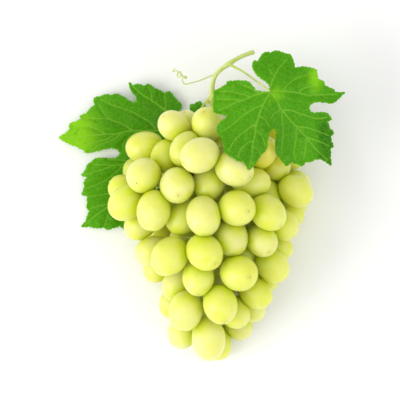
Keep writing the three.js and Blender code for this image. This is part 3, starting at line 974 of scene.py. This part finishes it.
@dataclass
class Leaf:
    """A vine leaf: its margin and veins in millimetres, how it is lifted, its painted light and shade, and
    its petiole.
    """

    name: str
    node: str
    margin: tuple[Flat, ...]
    veins: tuple[Vein, ...]
    petiole: tuple[Place, ...]
    under_bunch: bool
    lift: Callable[[np.ndarray, np.ndarray], np.ndarray]
    shade: Callable[[np.ndarray, np.ndarray], np.ndarray]
    seed: float = 0.0
    sizes: LeafSizes = field(default_factory=LeafSizes)

    def outline(self) -> np.ndarray:
        """Follows the margin with the small outward swell of each tooth's sides.

        Returns:
            The line's corners as rows, in metres.
        """
        tips = np.array(self.margin) * MM
        out = 1.0 if self.signed_area(tips) > 0 else -1.0
        points, travelled = [], 0.0
        for a, b in zip(tips, np.roll(tips, -1, 0)):
            run = b - a
            length = float(np.linalg.norm(run))
            normal = np.array([run[1], -run[0]]) / max(length, 1e-9) * out
            count = max(1, int(round(length / self.sizes.margin_step)))
            for k in range(count):
                share = k / count
                swell = self.sizes.tooth_swell * length * 4 * share * (1 - share)
                jag = self.sizes.margin_noise * noise.noise(Vector((*(a + run * share) * 900, self.seed)))
                phase = (travelled + share * length) / self.sizes.tooth_spacing % 1.0
                jag += self.sizes.small_tooth * (min(phase / 0.65, (1 - phase) / 0.35) - 0.5)
                points.append(a + run * share + normal * (swell + (jag if k else 0)))
            travelled += length
        return np.array(points)

    @staticmethod
    def signed_area(points: np.ndarray) -> float:
        """Twice the area inside a closed line, positive if it runs anticlockwise."""
        x, y = points.T
        return float((x * np.roll(y, -1) - y * np.roll(x, -1)).sum())

    def vein_distance(self, places: np.ndarray) -> tuple[np.ndarray, np.ndarray]:
        """Measures how far places lie from the veins.

        Args:
            places: Places on the blade, as rows of x and y.

        Returns:
            The distance to the nearest vein's side, negative on a vein, and that to any vein's middle.
        """
        side = np.full(len(places), FAR)
        middle = np.full(len(places), FAR)
        for vein in self.veins:
            line = smooth_line(np.array(vein.line) * MM, 2 * MM)
            for i, (a, b) in enumerate(zip(line, line[1:])):
                away, share = from_segment(places, a, b)
                middle = np.minimum(middle, away)
                side = np.minimum(side, away - vein.half((i + share) / (len(line) - 1)))
        return side, middle

    def flat_mesh(self) -> tuple[np.ndarray, list[list[int]]]:
        """Fills the outline with triangles that follow the margin and crowd along the veins.

        Returns:
            The places as rows of x and y, and the triangles.
        """
        step = self.sizes.spacing
        rim = self.outline()
        low, high = rim.min(0), rim.max(0)
        rows = np.arange(low[1], high[1], step * 0.866)
        inner = []
        for k, y in enumerate(rows):
            xs = np.arange(low[0] + (k % 2) * step / 2, high[0], step)
            inner.append(np.column_stack([xs, np.full(len(xs), y)]))
        inner = np.vstack(inner)
        side, _ = self.vein_distance(inner)
        along = [np.empty((0, 2))]
        for vein in self.veins:
            line = smooth_line(np.array(vein.line) * MM, step)
            run = np.gradient(line, axis=0)
            across = np.column_stack([-run[:, 1], run[:, 0]]) / np.linalg.norm(run, axis=1)[:, None]
            half = vein.half(np.linspace(0, 1, len(line))[:, None])
            for offset in (-1.0, 0.0, 1.0):
                along.append(line + across * offset * (half + 0.05 * MM))
        along = np.vstack(along)
        grid = np.vstack([inner[side > 0.35 * MM], self.thinned(along, 0.24 * MM)])
        grid = grid[self.inside(grid, rim, 0.4 * MM)]
        everything = np.vstack([rim, grid])
        count = len(rim)
        edges = [(i, (i + 1) % count) for i in range(count)]
        out = delaunay_2d_cdt([Vector(p) for p in everything * 1000], edges, [], 1, 1e-5)
        return np.array([v[:] for v in out[0]]) * MM, [list(f) for f in out[2]]

    @staticmethod
    def thinned(places: np.ndarray, least: float) -> np.ndarray:
        """Leaves out places that share a small square with an earlier one."""
        _, first = np.unique(np.round(places / least).astype(int), axis=0, return_index=True)
        return places[np.sort(first)]

    @staticmethod
    def inside(places: np.ndarray, rim: np.ndarray, clear: float) -> np.ndarray:
        """Tells which places lie within the rim and clear of it.

        Args:
            places: The places, as rows of x and y.
            rim: The closed line.
            clear: The least distance from the line.

        Returns:
            True for each place that does.
        """
        within = np.zeros(len(places), dtype=bool)
        x, y = places.T
        for a, b in zip(rim, np.roll(rim, -1, 0)):
            crosses = (a[1] > y) != (b[1] > y)
            with np.errstate(divide="ignore", invalid="ignore"):
                at = (b[0] - a[0]) * (y - a[1]) / (b[1] - a[1]) + a[0]
            within ^= crosses & (x < at)
        return within & (from_rim(places, rim) > clear)

    def heights(self, flat: np.ndarray, faces: list[list[int]], berries: list[Ellipsoid],
                side: np.ndarray, middle: np.ndarray) -> np.ndarray:
        """Works out the height of the blade's middle over the surface.

        Args:
            flat: Places on the blade.
            faces: Its triangles.
            berries: The berries it lies over or under.
            side: Distance to the veins' sides.
            middle: Distance to the veins' middles.

        Returns:
            A height for each place.
        """
        sizes = self.sizes
        bm = merged_copy(self.node)
        tree = BVHTree.FromBMesh(bm)
        bm.free()
        base = np.empty(len(flat))
        for i, (x, y) in enumerate(flat):
            hit = tree.ray_cast(Vector((x, y, 0.2)), Vector((0, 0, -1)))[0]
            base[i] = hit.z if hit else tree.find_nearest(Vector((x, y, 0.05)))[0].z
        base += self.lift(flat[:, 0], flat[:, 1])
        pairs = np.array(sorted({tuple(sorted(pair)) for f in faces for pair in zip(f, f[1:] + f[:1])}))
        one, two = pairs.T
        count = np.maximum(np.bincount(pairs.ravel(), minlength=len(flat)), 1)
        support = np.zeros(len(flat))
        if not self.under_bunch:
            for berry in berries:
                support = np.maximum(support, berry.top(flat[:, 0], flat[:, 1], sizes.berry_gap))
        low = support if not self.under_bunch else np.full(len(flat), sizes.thickness)
        for _ in range(sizes.drape_rounds):
            total = np.bincount(one, base[two], len(flat)) + np.bincount(two, base[one], len(flat))
            base = (1 - sizes.drape_pull) * base + sizes.drape_pull * total / count
            base = np.maximum(base, low)
        cushion = sizes.cushion * (1 - bell(middle, sizes.cushion_reach))
        vein = sizes.vein_sink * np.clip(1 - side / sizes.vein_fade, 0, 1)
        wave = np.array([noise.noise(Vector((x * 60, y * 60, self.seed))) for x, y in flat])
        small = np.array([noise.noise(Vector((x * 420, y * 420, self.seed + 3))) for x, y in flat])
        height = base + cushion - vein + sizes.pucker * small
        height += sizes.ripple * wave * np.clip(middle / sizes.ripple_reach, 0, 1)
        return np.maximum(height, low + (0 if self.under_bunch else 0.1 * MM))

    def build(self, berries: Berries, finishes: Sequence[bpy.types.Material]) -> bpy.types.Object:
        """Makes the blade and its petiole as one piece.

        Args:
            berries: The bunch that the leaf lies on or under.
            finishes: The upper face, the underside and the petiole.

        Returns:
            The piece.
        """
        sizes = self.sizes
        flat, faces = self.flat_mesh()
        side, middle = self.vein_distance(flat)
        height = self.heights(flat, faces, berries.all(), side, middle)
        if self.under_bunch:
            height = self.below(height, flat, berries.all())
        bm = bmesh.new()
        verts = [bm.verts.new((x, y, z)) for (x, y), z in zip(flat, height)]
        for f in faces:
            bm.faces.new([verts[k] for k in f])
        bmesh.ops.recalc_face_normals(bm, faces=bm.faces)
        if sum(f.normal.z for f in bm.faces) < 0:
            bmesh.ops.reverse_faces(bm, faces=bm.faces)
        bm.normal_update()
        bmesh.ops.solidify(bm, geom=bm.faces[:], thickness=sizes.thickness)
        bm.normal_update()
        for face in bm.faces:
            face.material_index = 0 if face.normal.z > 0 else 1
        blade = set(bm.faces)
        line = smooth_line(np.array(self.petiole) * MM, 1.0 * MM)
        sweep(bm, line, self.petiole_radius, 12)
        for face in set(bm.faces) - blade:
            face.material_index = 2
        places = coordinates(bm)
        side, _ = self.vein_distance(places[:, :2])
        edge = from_rim(places[:, :2], self.outline())
        layers = {
            Layer.VEIN: np.clip(1 - side / sizes.vein_colour_fade, 0, 1) ** 1.5,
            Layer.EDGE: np.clip(1 - edge / sizes.edge_colour_fade, 0, 1),
            Layer.SHADE: np.clip(self.shade(places[:, 0], places[:, 1]), 0, 1),
        }
        return finish_piece(self.name, bm, finishes, self.node, layers)

    @staticmethod
    def petiole_radius(share: float) -> float:
        """The petiole's radius at a share of its length: swollen where it leaves the shoot."""
        return (0.80 - 0.25 * share + 0.5 * math.exp(-share * 14)) * MM

    def below(self, height: np.ndarray, flat: np.ndarray, berries: list[Ellipsoid]) -> np.ndarray:
        """Keeps the blade under the berries that rest on it.

        Args:
            height: The blade's height at each place.
            flat: The places.
            berries: The berries.

        Returns:
            The heights, lowered where a berry presses.
        """
        for berry in berries:
            away = np.hypot(flat[:, 0] - berry.centre[0], flat[:, 1] - berry.centre[1])
            lowest = berry.centre[2] - berry.reach(np.array([0.0, 0.0, 1.0]))
            room = lowest + away**2 / (2.4 * berry.wide) - self.sizes.berry_gap
            height = np.where(away < berry.long, np.minimum(height, room), height)
        return np.maximum(height, self.sizes.thickness)


# ---------------------------------------------------------------- stem and tendril


@dataclass
class Stem:
    """The shoot with its cut end and two broken stalks, the rachis and the berries' stalks, as one skin."""

    shoot: tuple[Place, ...] = (
        (37.5, 107.6, 49.0), (29.0, 104.4, 50.0), (20.6, 99.6, 50.0), (14.6, 95.2, 49.6), (11.0, 91.4, 49.0),
        (9.0, 86.0, 47.6), (8.4, 80.0, 46.2), (8.2, 74.0, 45.0), (8.0, 66.0, 43.0), (7.6, 60.0, 36.0),
    )
    stubs: tuple[tuple[Place, ...], ...] = (
        ((8.2, 74.5, 45.0), (6.4, 73.0, 46.0), (4.9, 71.9, 46.6)),
        ((8.5, 79.0, 46.0), (9.6, 77.6, 47.0), (10.2, 76.4, 47.6)),
    )
    seam: float = 0.064
    grain: float = 0.34 * MM
    fill_out: float = 0.16 * MM
    shoot_fill_out: float = 0.05 * MM
    roughness: float = 0.05 * MM
    rib_depth: float = 0.045

    @staticmethod
    def radius(share: float) -> float:
        """The shoot's radius: swollen at the node, where it forks and at the cut.

        Args:
            share: A share of its length.

        Returns:
            The radius in metres.
        """
        node = 0.42 * bell(share - 0.29, 0.045)
        fork = 0.30 * bell(share - 0.68, 0.10)
        cut = 0.18 * bell(share, 0.05)
        return float(1.45 + node + fork + cut) * MM

    @staticmethod
    def stub_radius(share: float) -> float:
        """A broken stalk's radius at a share of its length: flared at the broken end."""
        return (0.75 + 0.35 * share**6) * MM

    def rib(self, share: float, angle: float) -> float:
        """The fine lengthwise ribs, as a factor on the radius."""
        twist = 2.5 * math.sin(5 * share)
        return 1 + self.rib_depth * math.sin(9 * angle + twist) + 0.02 * math.sin(60 * share)

    def build(self, bark: bpy.types.Material, cut: bpy.types.Material) -> bpy.types.Object:
        """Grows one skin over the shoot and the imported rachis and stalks, and ribs it.

        Args:
            bark: The stem's finish.
            cut: The finish of the cut end.

        Returns:
            The piece.
        """
        bm = merged_copy("stem")
        bmesh.ops.bisect_plane(bm, geom=bm.verts[:] + bm.edges[:] + bm.faces[:], plane_co=(0, self.seam, 0),
                               plane_no=(0, 1, 0), clear_outer=True)
        bmesh.ops.holes_fill(bm, edges=[e for e in bm.edges if e.is_boundary])
        line = smooth_line(np.array(self.shoot) * MM, 0.7 * MM)
        sweep(bm, line, self.radius, 36, self.rib)
        for stub in self.stubs:
            sweep(bm, smooth_line(np.array(stub) * MM, 0.6 * MM), self.stub_radius, 12)
        bm = self.one_skin(bm)
        for vert in bm.verts:
            rough = noise.noise(vert.co * 420) * self.roughness
            inside = vert.co.y < self.seam
            vert.co += vert.normal * (rough + (self.fill_out if inside else self.shoot_fill_out))
        end = Vector(line[0])
        out = (end - Vector(line[2])).normalized()
        for face in bm.faces:
            past_end = (face.calc_center_median() - end).dot(out) > 0.05 * MM
            face.material_index = int(past_end and face.normal.dot(out) > 0.6)
        return finish_piece("stem_and_rachis", bm, [bark, cut], "stem")

    def one_skin(self, bm: bmesh.types.BMesh) -> bmesh.types.BMesh:
        """Grows overlapping tubes together into one smooth closed skin.

        Args:
            bm: The tubes. It is freed.

        Returns:
            The skin.
        """
        mesh = bpy.data.meshes.new("stem_skin")
        bm.to_mesh(mesh)
        bm.free()
        holder = bpy.data.objects.new("stem_skin", mesh)
        bpy.context.scene.collection.objects.link(holder)
        remesh = holder.modifiers.new("skin", "REMESH")
        remesh.mode = "VOXEL"
        remesh.voxel_size = self.grain
        ready = holder.evaluated_get(bpy.context.evaluated_depsgraph_get())
        skin = bmesh.new()
        skin.from_mesh(ready.to_mesh())
        ready.to_mesh_clear()
        bpy.data.objects.remove(holder)
        bpy.data.meshes.remove(mesh)
        for _ in range(3):
            bmesh.ops.smooth_vert(skin, verts=skin.verts, factor=0.5, use_axis_x=True, use_axis_y=True,
                                  use_axis_z=True)
        skin.normal_update()
        return skin


@dataclass
class Tendril:
    """The tendril: a long thin arm from the shoot, and its curl."""

    line: tuple[Place, ...] = (
        (9.8, 91.0, 48.8), (7.6, 90.9, 48.6), (4.0, 89.4, 48.4), (0.0, 87.7, 48.6), (-4.0, 86.5, 49.0),
        (-7.2, 85.7, 49.4), (-9.8, 85.0, 49.8), (-11.8, 86.0, 50.2), (-12.3, 88.2, 50.8), (-11.6, 89.9, 51.4),
        (-9.7, 90.3, 52.2), (-9.6, 89.1, 53.0), (-11.2, 89.4, 53.6), (-12.8, 91.4, 54.0), (-13.8, 93.4, 54.4),
        (-15.2, 92.6, 55.0), (-15.8, 90.6, 55.6), (-14.6, 89.4, 56.2), (-13.4, 90.6, 56.8),
        (-14.4, 92.8, 57.6), (-16.6, 94.0, 58.6), (-19.0, 93.2, 59.2), (-18.6, 94.2, 59.6),
        (-17.2, 95.6, 60.0),
    )

    def build(self, skin: bpy.types.Material) -> bpy.types.Object:
        """Sweeps the tendril's round section along its line.

        Args:
            skin: Its finish.

        Returns:
            The piece.
        """
        bm = bmesh.new()
        line = smooth_line(np.array(self.line) * MM, 0.35 * MM)
        sweep(bm, line, self.radius, 14)
        return finish_piece("tendril_curl", bm, [skin], "tendril")

    @staticmethod
    def radius(share: float) -> float:
        """Gives the radius, which is a little larger at the shoot and in the curl.

        Args:
            share: How far along the tendril, from 0 to 1.

        Returns:
            The radius in metres.
        """
        foot = 0.5 * math.exp(-share * 30)
        curl = 0.10 * bell(share - 0.6, 0.16)
        return float(0.50 - 0.14 * share + foot + curl) * MM


# ---------------------------------------------------------------- the leaves of this bunch


RIGHT_MARGIN = (
    (48, 81.5), (47, 84), (44.5, 86), (41, 88.5), (39, 90), (37.5, 92.5), (36, 95.5), (36, 97.5),
    (37, 100.5), (40, 100), (41.5, 103), (44, 106), (46, 106.5), (49, 106), (51.5, 107.5), (54, 107.5),
    (56.5, 106.5), (59.5, 105.5), (62.5, 105), (63.5, 103), (65, 99), (65.5, 95.5), (68.5, 96),
    (71.5, 96.5), (74, 96), (77.5, 95.5), (81, 94), (81, 92), (81.5, 88.5), (83, 87.5), (86, 86),
    (86.5, 83.5), (90, 82), (93, 81), (94, 79), (97.5, 79), (101, 79), (98.5, 76.5), (96, 74), (92, 71),
    (87, 71.5), (82.5, 72), (79, 71.5), (76.5, 70), (75.5, 68), (76.5, 65.5), (79, 64.5), (82.5, 65),
    (86, 65), (88.5, 64.5), (90, 62.5), (91.5, 60), (88.5, 58.5), (89.5, 56.5), (90, 54), (92.5, 52),
    (93, 50), (91, 48.5), (91.5, 45), (93, 42), (92.5, 40.5), (91, 40), (91, 34), (91.5, 28), (87.5, 31),
    (84, 32.5), (80, 32.5), (78.5, 31), (73.5, 30.5), (71, 27.5), (67.5, 29), (63.5, 30.5), (60, 27.5),
    (58, 29.5), (55, 33.5), (53, 35.5), (52, 40), (52.5, 46.5), (53, 51), (51.5, 53), (49, 52.5),
    (47, 49.5), (46.5, 44), (46, 39.5), (42, 35), (40, 32), (37, 28), (33.5, 24.5), (31.5, 27.5),
    (29.5, 30.5), (25.5, 31), (22.5, 33), (18.5, 35.5), (16.5, 37), (16, 42), (15, 46.5), (12, 49.5),
    (11.5, 54), (13.5, 57.5), (17, 60), (18.5, 62), (15, 63), (9.5, 64.5), (9, 69), (9.5, 73.5), (9.5, 79),
    (14, 81.5), (18, 84), (18.5, 86), (23, 86.5), (28.5, 86.5), (34, 85.5), (36, 83), (38.5, 79.5),
    (43, 78.5), (47, 78.5),
)

LEFT_MARGIN = (
    (-51, 89), (-49.5, 82.5), (-46, 78.5), (-45.5, 75.5), (-48, 74), (-51.5, 76), (-56, 79), (-60, 80.5),
    (-63.5, 79.5), (-67.5, 80), (-71.5, 78.5), (-76, 77.5), (-76.5, 75.5), (-75.5, 72.5), (-80, 68.5),
    (-81.5, 66.5), (-86.5, 64), (-84.5, 62.5), (-89, 60.5), (-93.5, 59), (-94, 57.5), (-93.5, 55),
    (-96.5, 52), (-101.5, 49), (-95, 45), (-88.5, 42.5), (-83.5, 40), (-82.5, 38), (-79.5, 38), (-75, 39),
    (-69, 40.5), (-63.5, 41.5), (-59.5, 40.5), (-57.5, 38), (-58.5, 36), (-61, 34), (-65.5, 34),
    (-71, 34.5), (-75.5, 34), (-78, 31.5), (-81, 29.5), (-82, 26.5), (-83.5, 24), (-85.5, 22), (-81, 20.5),
    (-83.5, 17), (-83, 14), (-84, 11), (-85, 8), (-81, 7), (-81, 2), (-81.5, -1.5), (-79.5, -3.5),
    (-81, -7), (-82, -11), (-85.5, -15), (-79.5, -15), (-75.5, -16), (-69, -15.5), (-66.5, -17.5),
    (-62.5, -16), (-57.5, -14.5), (-55.5, -16.5), (-54, -17.5), (-51.5, -16), (-44, -16), (-38, -14),
    (-34.5, -9), (-30, -5.5), (-26, 0), (-24, 5.5), (-19, 10), (-13.5, 14), (-9, 21), (-5, 25), (-1.5, 32),
    (1.5, 39), (0, 45), (-3, 49), (-4, 52.5), (-0.5, 55.5), (5, 58), (7.5, 64.5), (7, 70), (4, 71.5),
    (1.5, 73.5), (0.5, 75), (-2, 74.5), (-4.5, 73), (-7, 73), (-7.5, 70), (-6.5, 66.5), (-8.5, 63),
    (-12, 62.5), (-15.5, 66), (-15.5, 68), (-13, 70.5), (-13.5, 73.5), (-16, 75.5), (-18.5, 78.5),
    (-22, 82.5), (-25.5, 81), (-30, 83.5), (-32.5, 84.5), (-37, 87.5), (-40, 86), (-44.5, 87.5),
    (-48, 86.5),
)

RIGHT_VEINS = (
    ((47.5, 79), (49.5, 86), (51, 89), (54, 94.5), (59.5, 101)),
    ((51, 89), (49, 91.5), (47.5, 94.5)),
    ((47.5, 79), (56.5, 79), (68, 78), (74, 76.5), (84, 77), (95, 77.5)),
    ((56.5, 79), (59.5, 82.5), (62.5, 85.5), (66.5, 88), (72, 90), (76, 91.5)),
    ((68, 78), (70.5, 81), (74.5, 82), (82.5, 84.5)),
    ((47.5, 79), (52.5, 73), (56.5, 66), (66.5, 55), (74, 47.5), (81, 39), (89, 32)),
    ((56.5, 66), (62.5, 66), (68.5, 64), (75, 62), (81.5, 60.5), (88, 61.5)),
    ((54, 69.5), (54.5, 65.5), (51, 63.5), (48.5, 60)),
    ((56.5, 65), (56.5, 61), (57.5, 51.5), (57, 44), (56.5, 36.5)),
    ((66.5, 55), (75.5, 54), (84, 51), (89.5, 49)),
    ((66.5, 55), (66.5, 46), (65, 38), (66, 32)),
    ((74, 47.5), (73, 39), (72, 32)),
    ((74, 47.5), (82.5, 45), (89.5, 42)),
    ((47.5, 79), (47, 76.5), (43, 69), (38.5, 56), (37.5, 48.5), (36, 41.5), (35.5, 35), (34.5, 30),
     (33.5, 26)),
    ((43, 69), (39, 68), (35, 65.5), (29.5, 62), (24, 57.5), (19, 53.5), (13.5, 50)),
    ((38.5, 56), (35, 54.5), (31, 51.5), (25.5, 47), (22, 42.5), (19.5, 38.5)),
    ((37, 45), (31.5, 42.5), (27, 37.5), (26, 33)),
    ((38, 52), (42, 48.5), (44, 44), (45, 40.5)),
    ((36.5, 40.5), (40, 38), (41.5, 35)),
    ((40.5, 61.5), (45, 59), (47.5, 54.5)),
    ((47.5, 79), (40, 77), (35, 75), (29, 72.5), (24, 71), (18.5, 68), (13, 66)),
    ((35, 75), (28, 77), (21, 79), (14, 79)),
    ((29, 72.5), (21, 73.5), (12, 73.5)),
    ((40.5, 77.5), (35, 81), (28, 84)),
)

LEFT_VEINS = (
    ((-8, 56.5), (-17.5, 53.5), (-26, 54), (-35, 54), (-49, 54), (-56, 53), (-61.5, 51.5), (-67.5, 51.5),
     (-77, 50.5), (-87.5, 49.5), (-98, 49)),
    ((-67.5, 51.5), (-75.5, 55.5), (-83, 57.5), (-91, 57.5)),
    ((-49, 54), (-53.5, 57.5), (-57.5, 59.5), (-62.5, 61), (-67.5, 62.5), (-75, 62.5), (-83.5, 64)),
    ((-62.5, 61), (-69, 66.5), (-73, 73)),
    ((-32, 55), (-35.5, 59.5), (-39.5, 62.5), (-45, 65.5), (-50, 68), (-55.5, 70), (-63.5, 72.5),
     (-71.5, 76.5)),
    ((-8, 56.5), (-16, 59.5), (-22, 65.5), (-25.5, 69.5), (-29.5, 72), (-34.5, 75.5), (-39.5, 78.5),
     (-45, 82.5), (-49, 87)),
    ((-25.5, 69.5), (-24.5, 74), (-26, 79)),
    ((-34.5, 75.5), (-35, 80), (-37, 85.5)),
    ((-56, 53), (-63, 47.5), (-71.5, 44), (-78.5, 40)),
    ((-45, 54), (-52, 48.5), (-56.5, 43.5)),
    ((-61.5, 51.5), (-68, 47.5), (-77, 45.5), (-85.5, 42.5)),
    ((-8, 56.5), (-24.5, 42), (-36.5, 36.5), (-48.5, 32), (-54.5, 30), (-61.5, 29), (-67.5, 27),
     (-75.5, 24.5), (-83.5, 22)),
    ((-48.5, 32), (-57.5, 33), (-66, 33)),
    ((-54.5, 30), (-64.5, 21), (-73.5, 15.5), (-82.5, 12)),
    ((-61.5, 29), (-70, 29.5), (-77, 29.5)),
    ((-8, 56.5), (-22.5, 35.5), (-36.5, 24), (-49, 13.5), (-63.5, 1.5), (-74.5, -6.5), (-82.5, -13.5)),
    ((-49, 13.5), (-61.5, 10), (-73, 7.5), (-81, 6.5)),
    ((-56, 7.5), (-64.5, -1.5), (-68.5, -14)),
    ((-36.5, 24), (-42, 11), (-50.5, -1.5), (-57.5, -11)),
    ((-63.5, 1.5), (-71.5, 0), (-79, -2)),
    ((-8, 56.5), (-17, 39), (-24, 24), (-31, 7)),
    ((-8, 56.5), (-4, 61.5), (0, 68.5), (3, 71.5)),
    ((-8, 56.5), (-7, 42.5), (-7, 32)),
)


def with_widths(lines: Sequence[tuple[Flat, ...]], junction: Flat) -> tuple[Vein, ...]:
    """Gives each vein its width: thick from the junction, thinner where it branches from another."""
    main, side = (0.24, 0.07), (0.12, 0.04)
    return tuple(Vein(line, *(main if line[0] == junction else side)) for line in lines)


def right_leaf() -> Leaf:
    """Describes the leaf that lies over the shoulder of the bunch.

    Returns:
        The leaf with its margin, veins and curl.
    """
    junction = (47.5, 79)

    def lift(x: np.ndarray, y: np.ndarray) -> np.ndarray:
        """Curls the right-hand lobes over a little."""
        return 2.0 * MM * bell(x - 0.083, 0.006) * bell(y - 0.090, 0.012)

    def shade(x: np.ndarray, y: np.ndarray) -> np.ndarray:
        """Painted light and shade: brighter along the near margins, round the petiole, on the curled-up lobe
        and on the lower lobe, darker at its far side.

        Args:
            x: The places' x in metres.
            y: The places' y in metres.

        Returns:
            A share for each place: 0 is the deepest green and 1 the brightest.
        """
        near = bell(np.hypot(x - 0.0475, y - 0.079), 0.018)
        left = bell(x - 0.014, 0.016) * bell(y - 0.074, 0.018)
        fold = bell(x - 0.080, 0.007) * bell(y - 0.088, 0.012)
        dark = np.clip((x - 0.079) / 0.006, 0, 1) * np.clip((0.064 - y) / 0.01, 0, 1)
        folded = bell(x - 0.071, 0.013) * bell(y - 0.038, 0.017)
        joint = bell(np.hypot(x - 0.053, y - 0.077), 0.007)
        return 0.36 + 0.10 * near + 0.26 * left + 0.55 * fold + 0.24 * folded + 0.30 * joint - 0.34 * dark

    return Leaf(name="right_leaf", node="leaf_right", margin=RIGHT_MARGIN,
                veins=with_widths(RIGHT_VEINS, junction),
                petiole=((20.6, 98.6, 50.5), (25.0, 96.2, 53.0), (29.1, 93.9, 56.5), (34.9, 89.5, 62.5),
                         (39.3, 85.9, 68.0), (44.7, 81.5, 73.5), (47.6, 79.0, 76.6)),
                under_bunch=False, lift=lift, shade=shade, seed=4.0)


def left_leaf() -> Leaf:
    """Describes the leaf that lies on the surface under the bunch.

    Returns:
        The leaf with its margin, veins and curl.
    """
    junction = (-8, 56.5)

    def lift(x: np.ndarray, y: np.ndarray) -> np.ndarray:
        """Raises the free lobes from the surface between their tips and the bunch."""
        return 3.5 * MM * np.clip((-0.046 - x) / 0.02, 0, 1) * bell(x + 0.075, 0.02)

    def shade(x: np.ndarray, y: np.ndarray) -> np.ndarray:
        """Painted light and shade: bright at the far end, where the lobe curls towards the light, darker
        towards the bunch, as painted shadow of the bunch.

        Args:
            x: The places' x in metres.
            y: The places' y in metres.

        Returns:
            A share for each place: 0 is the deepest green and 1 the brightest.
        """
        out = np.clip((-0.030 - x) / 0.07, 0, 1)
        highlight_green = bell(np.hypot(x + 0.098, y - 0.051), 0.022)
        return 0.28 + 0.40 * out + 0.50 * highlight_green

    return Leaf(name="left_leaf", node="leaf_left", margin=LEFT_MARGIN,
                veins=with_widths(LEFT_VEINS, junction),
                petiole=((7.6, 77.0, 45.2), (5.2, 74.2, 42.5), (2.4, 71.0, 37.0), (0.6, 68.6, 31.0),
                         (-1.4, 66.0, 24.0), (-4.6, 61.6, 12.0), (-7.4, 57.6, 2.5), (-8.0, 56.5, 0.9)),
                under_bunch=True, lift=lift, shade=shade, seed=9.0)


# ---------------------------------------------------------------- studio


@dataclass(frozen=True)
class Lamp:
    """A square soft light: where it hangs, the length of its sides, its power in watts and its colour."""

    name: str
    place: Place
    size: float
    power: float
    colour: Colour


@dataclass(frozen=True)
class PaleFloor:
    """A plain, even, nearly white surface."""

    name: str = "pale_floor"

    def make(self) -> bpy.types.Material:
        """Clouds the surface very faintly.

        Returns:
            The finished material.
        """
        s = Shader(self.name)
        s.set(Base_Color=s.mix(s.noise(4.0, 2.0), (0.97, 0.97, 0.965), (0.98, 0.98, 0.975)), Roughness=0.8)
        return s.material


@dataclass
class Studio:
    """The pale floor, the soft lights and the camera that looks straight down."""

    frame_width: float = 0.280
    focus_height: float = 0.045
    centre: Flat = (0.0, 0.0042)
    lens: float = 200.0
    sensor: float = 36.0
    far_clip: float = 20.0
    floor_reach: float = 3.0
    floor_drop: float = 0.05 * MM
    world_strength: float = 0.67
    aim: Place = (0.0, 0.0, 0.03)
    lamps: tuple[Lamp, ...] = (
        Lamp("key", (-1.05, -0.32, 0.78), 0.85, 10.0, (1.0, 0.99, 0.97)),
        Lamp("fill", (0.90, -0.45, 0.70), 0.9, 3.0, (0.97, 0.99, 1.0)),
        Lamp("top", (0.0, 0.1, 1.45), 1.2, 3.4, (1.0, 1.0, 0.98)),
    )

    def build(self) -> None:
        """Makes the floor, the world, the lights and the camera."""
        self.floor()
        self.world()
        for lamp in self.lamps:
            self.light(lamp)
        self.camera()
        scene = bpy.context.scene
        scene.view_settings.view_transform = "Standard"
        scene.view_settings.look = "None"

    def floor(self) -> None:
        """A wide plain pale floor just under the bunch."""
        bm = bmesh.new()
        bmesh.ops.create_grid(bm, x_segments=1, y_segments=1, size=self.floor_reach,
                              matrix=Matrix.Translation((0, 0, -self.floor_drop)))
        mesh = bpy.data.meshes.new("floor")
        bm.to_mesh(mesh)
        bm.free()
        mesh.materials.append(PaleFloor().make())
        floor = bpy.data.objects.new("floor", mesh)
        bpy.context.scene.collection.objects.link(floor)

    def world(self) -> None:
        """Even white light from all round."""
        world = bpy.data.worlds.new("studio")
        world.use_nodes = True
        background = world.node_tree.nodes["Background"]
        background.inputs["Color"].default_value = (1.0, 1.0, 1.0, 1.0)
        background.inputs["Strength"].default_value = self.world_strength
        bpy.context.scene.world = world

    def light(self, lamp: Lamp) -> None:
        """Hangs a lamp so that it points at the bunch.

        Args:
            lamp: The lamp.
        """
        data = bpy.data.lights.new(lamp.name, "AREA")
        data.size, data.energy, data.color = lamp.size, lamp.power, lamp.colour
        hung = bpy.data.objects.new(lamp.name, data)
        hung.location = lamp.place
        hung.rotation_euler = (Vector(self.aim) - Vector(lamp.place)).to_track_quat("-Z", "Y").to_euler()
        bpy.context.scene.collection.objects.link(hung)

    def camera(self) -> None:
        """A long lens straight above the bunch, with the stem's end at the top of the picture."""
        data = bpy.data.cameras.new("camera")
        data.lens, data.sensor_width, data.clip_end = self.lens, self.sensor, self.far_clip
        camera = bpy.data.objects.new("camera", data)
        away = self.frame_width * self.lens / self.sensor
        camera.location = (*self.centre, self.focus_height + away)
        bpy.context.scene.collection.objects.link(camera)
        bpy.context.scene.camera = camera


def main() -> None:
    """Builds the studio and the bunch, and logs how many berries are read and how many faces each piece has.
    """
    logging.basicConfig(level=logging.INFO, format="%(name)s: %(message)s")
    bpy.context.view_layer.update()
    Studio().build()
    berries = Berries()
    berries.read()
    berries.build()
    bark = GreenBark().make()
    Stem().build(bark, CutWood().make())
    Tendril().build(TendrilSkin().make())
    upper = LeafBlade("leaf_upper").make()
    under = LeafBlade("leaf_underside", shaded_and_mottled_green=(0.12, 0.26, 0.05), fresh=(0.22, 0.42, 0.10),
                      vein=(0.42, 0.60, 0.22), gloss=0.6).make()
    for leaf in (left_leaf(), right_leaf()):
        leaf.build(berries, [upper, under, bark])
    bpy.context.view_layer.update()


if __name__ == "__main__":
    main()
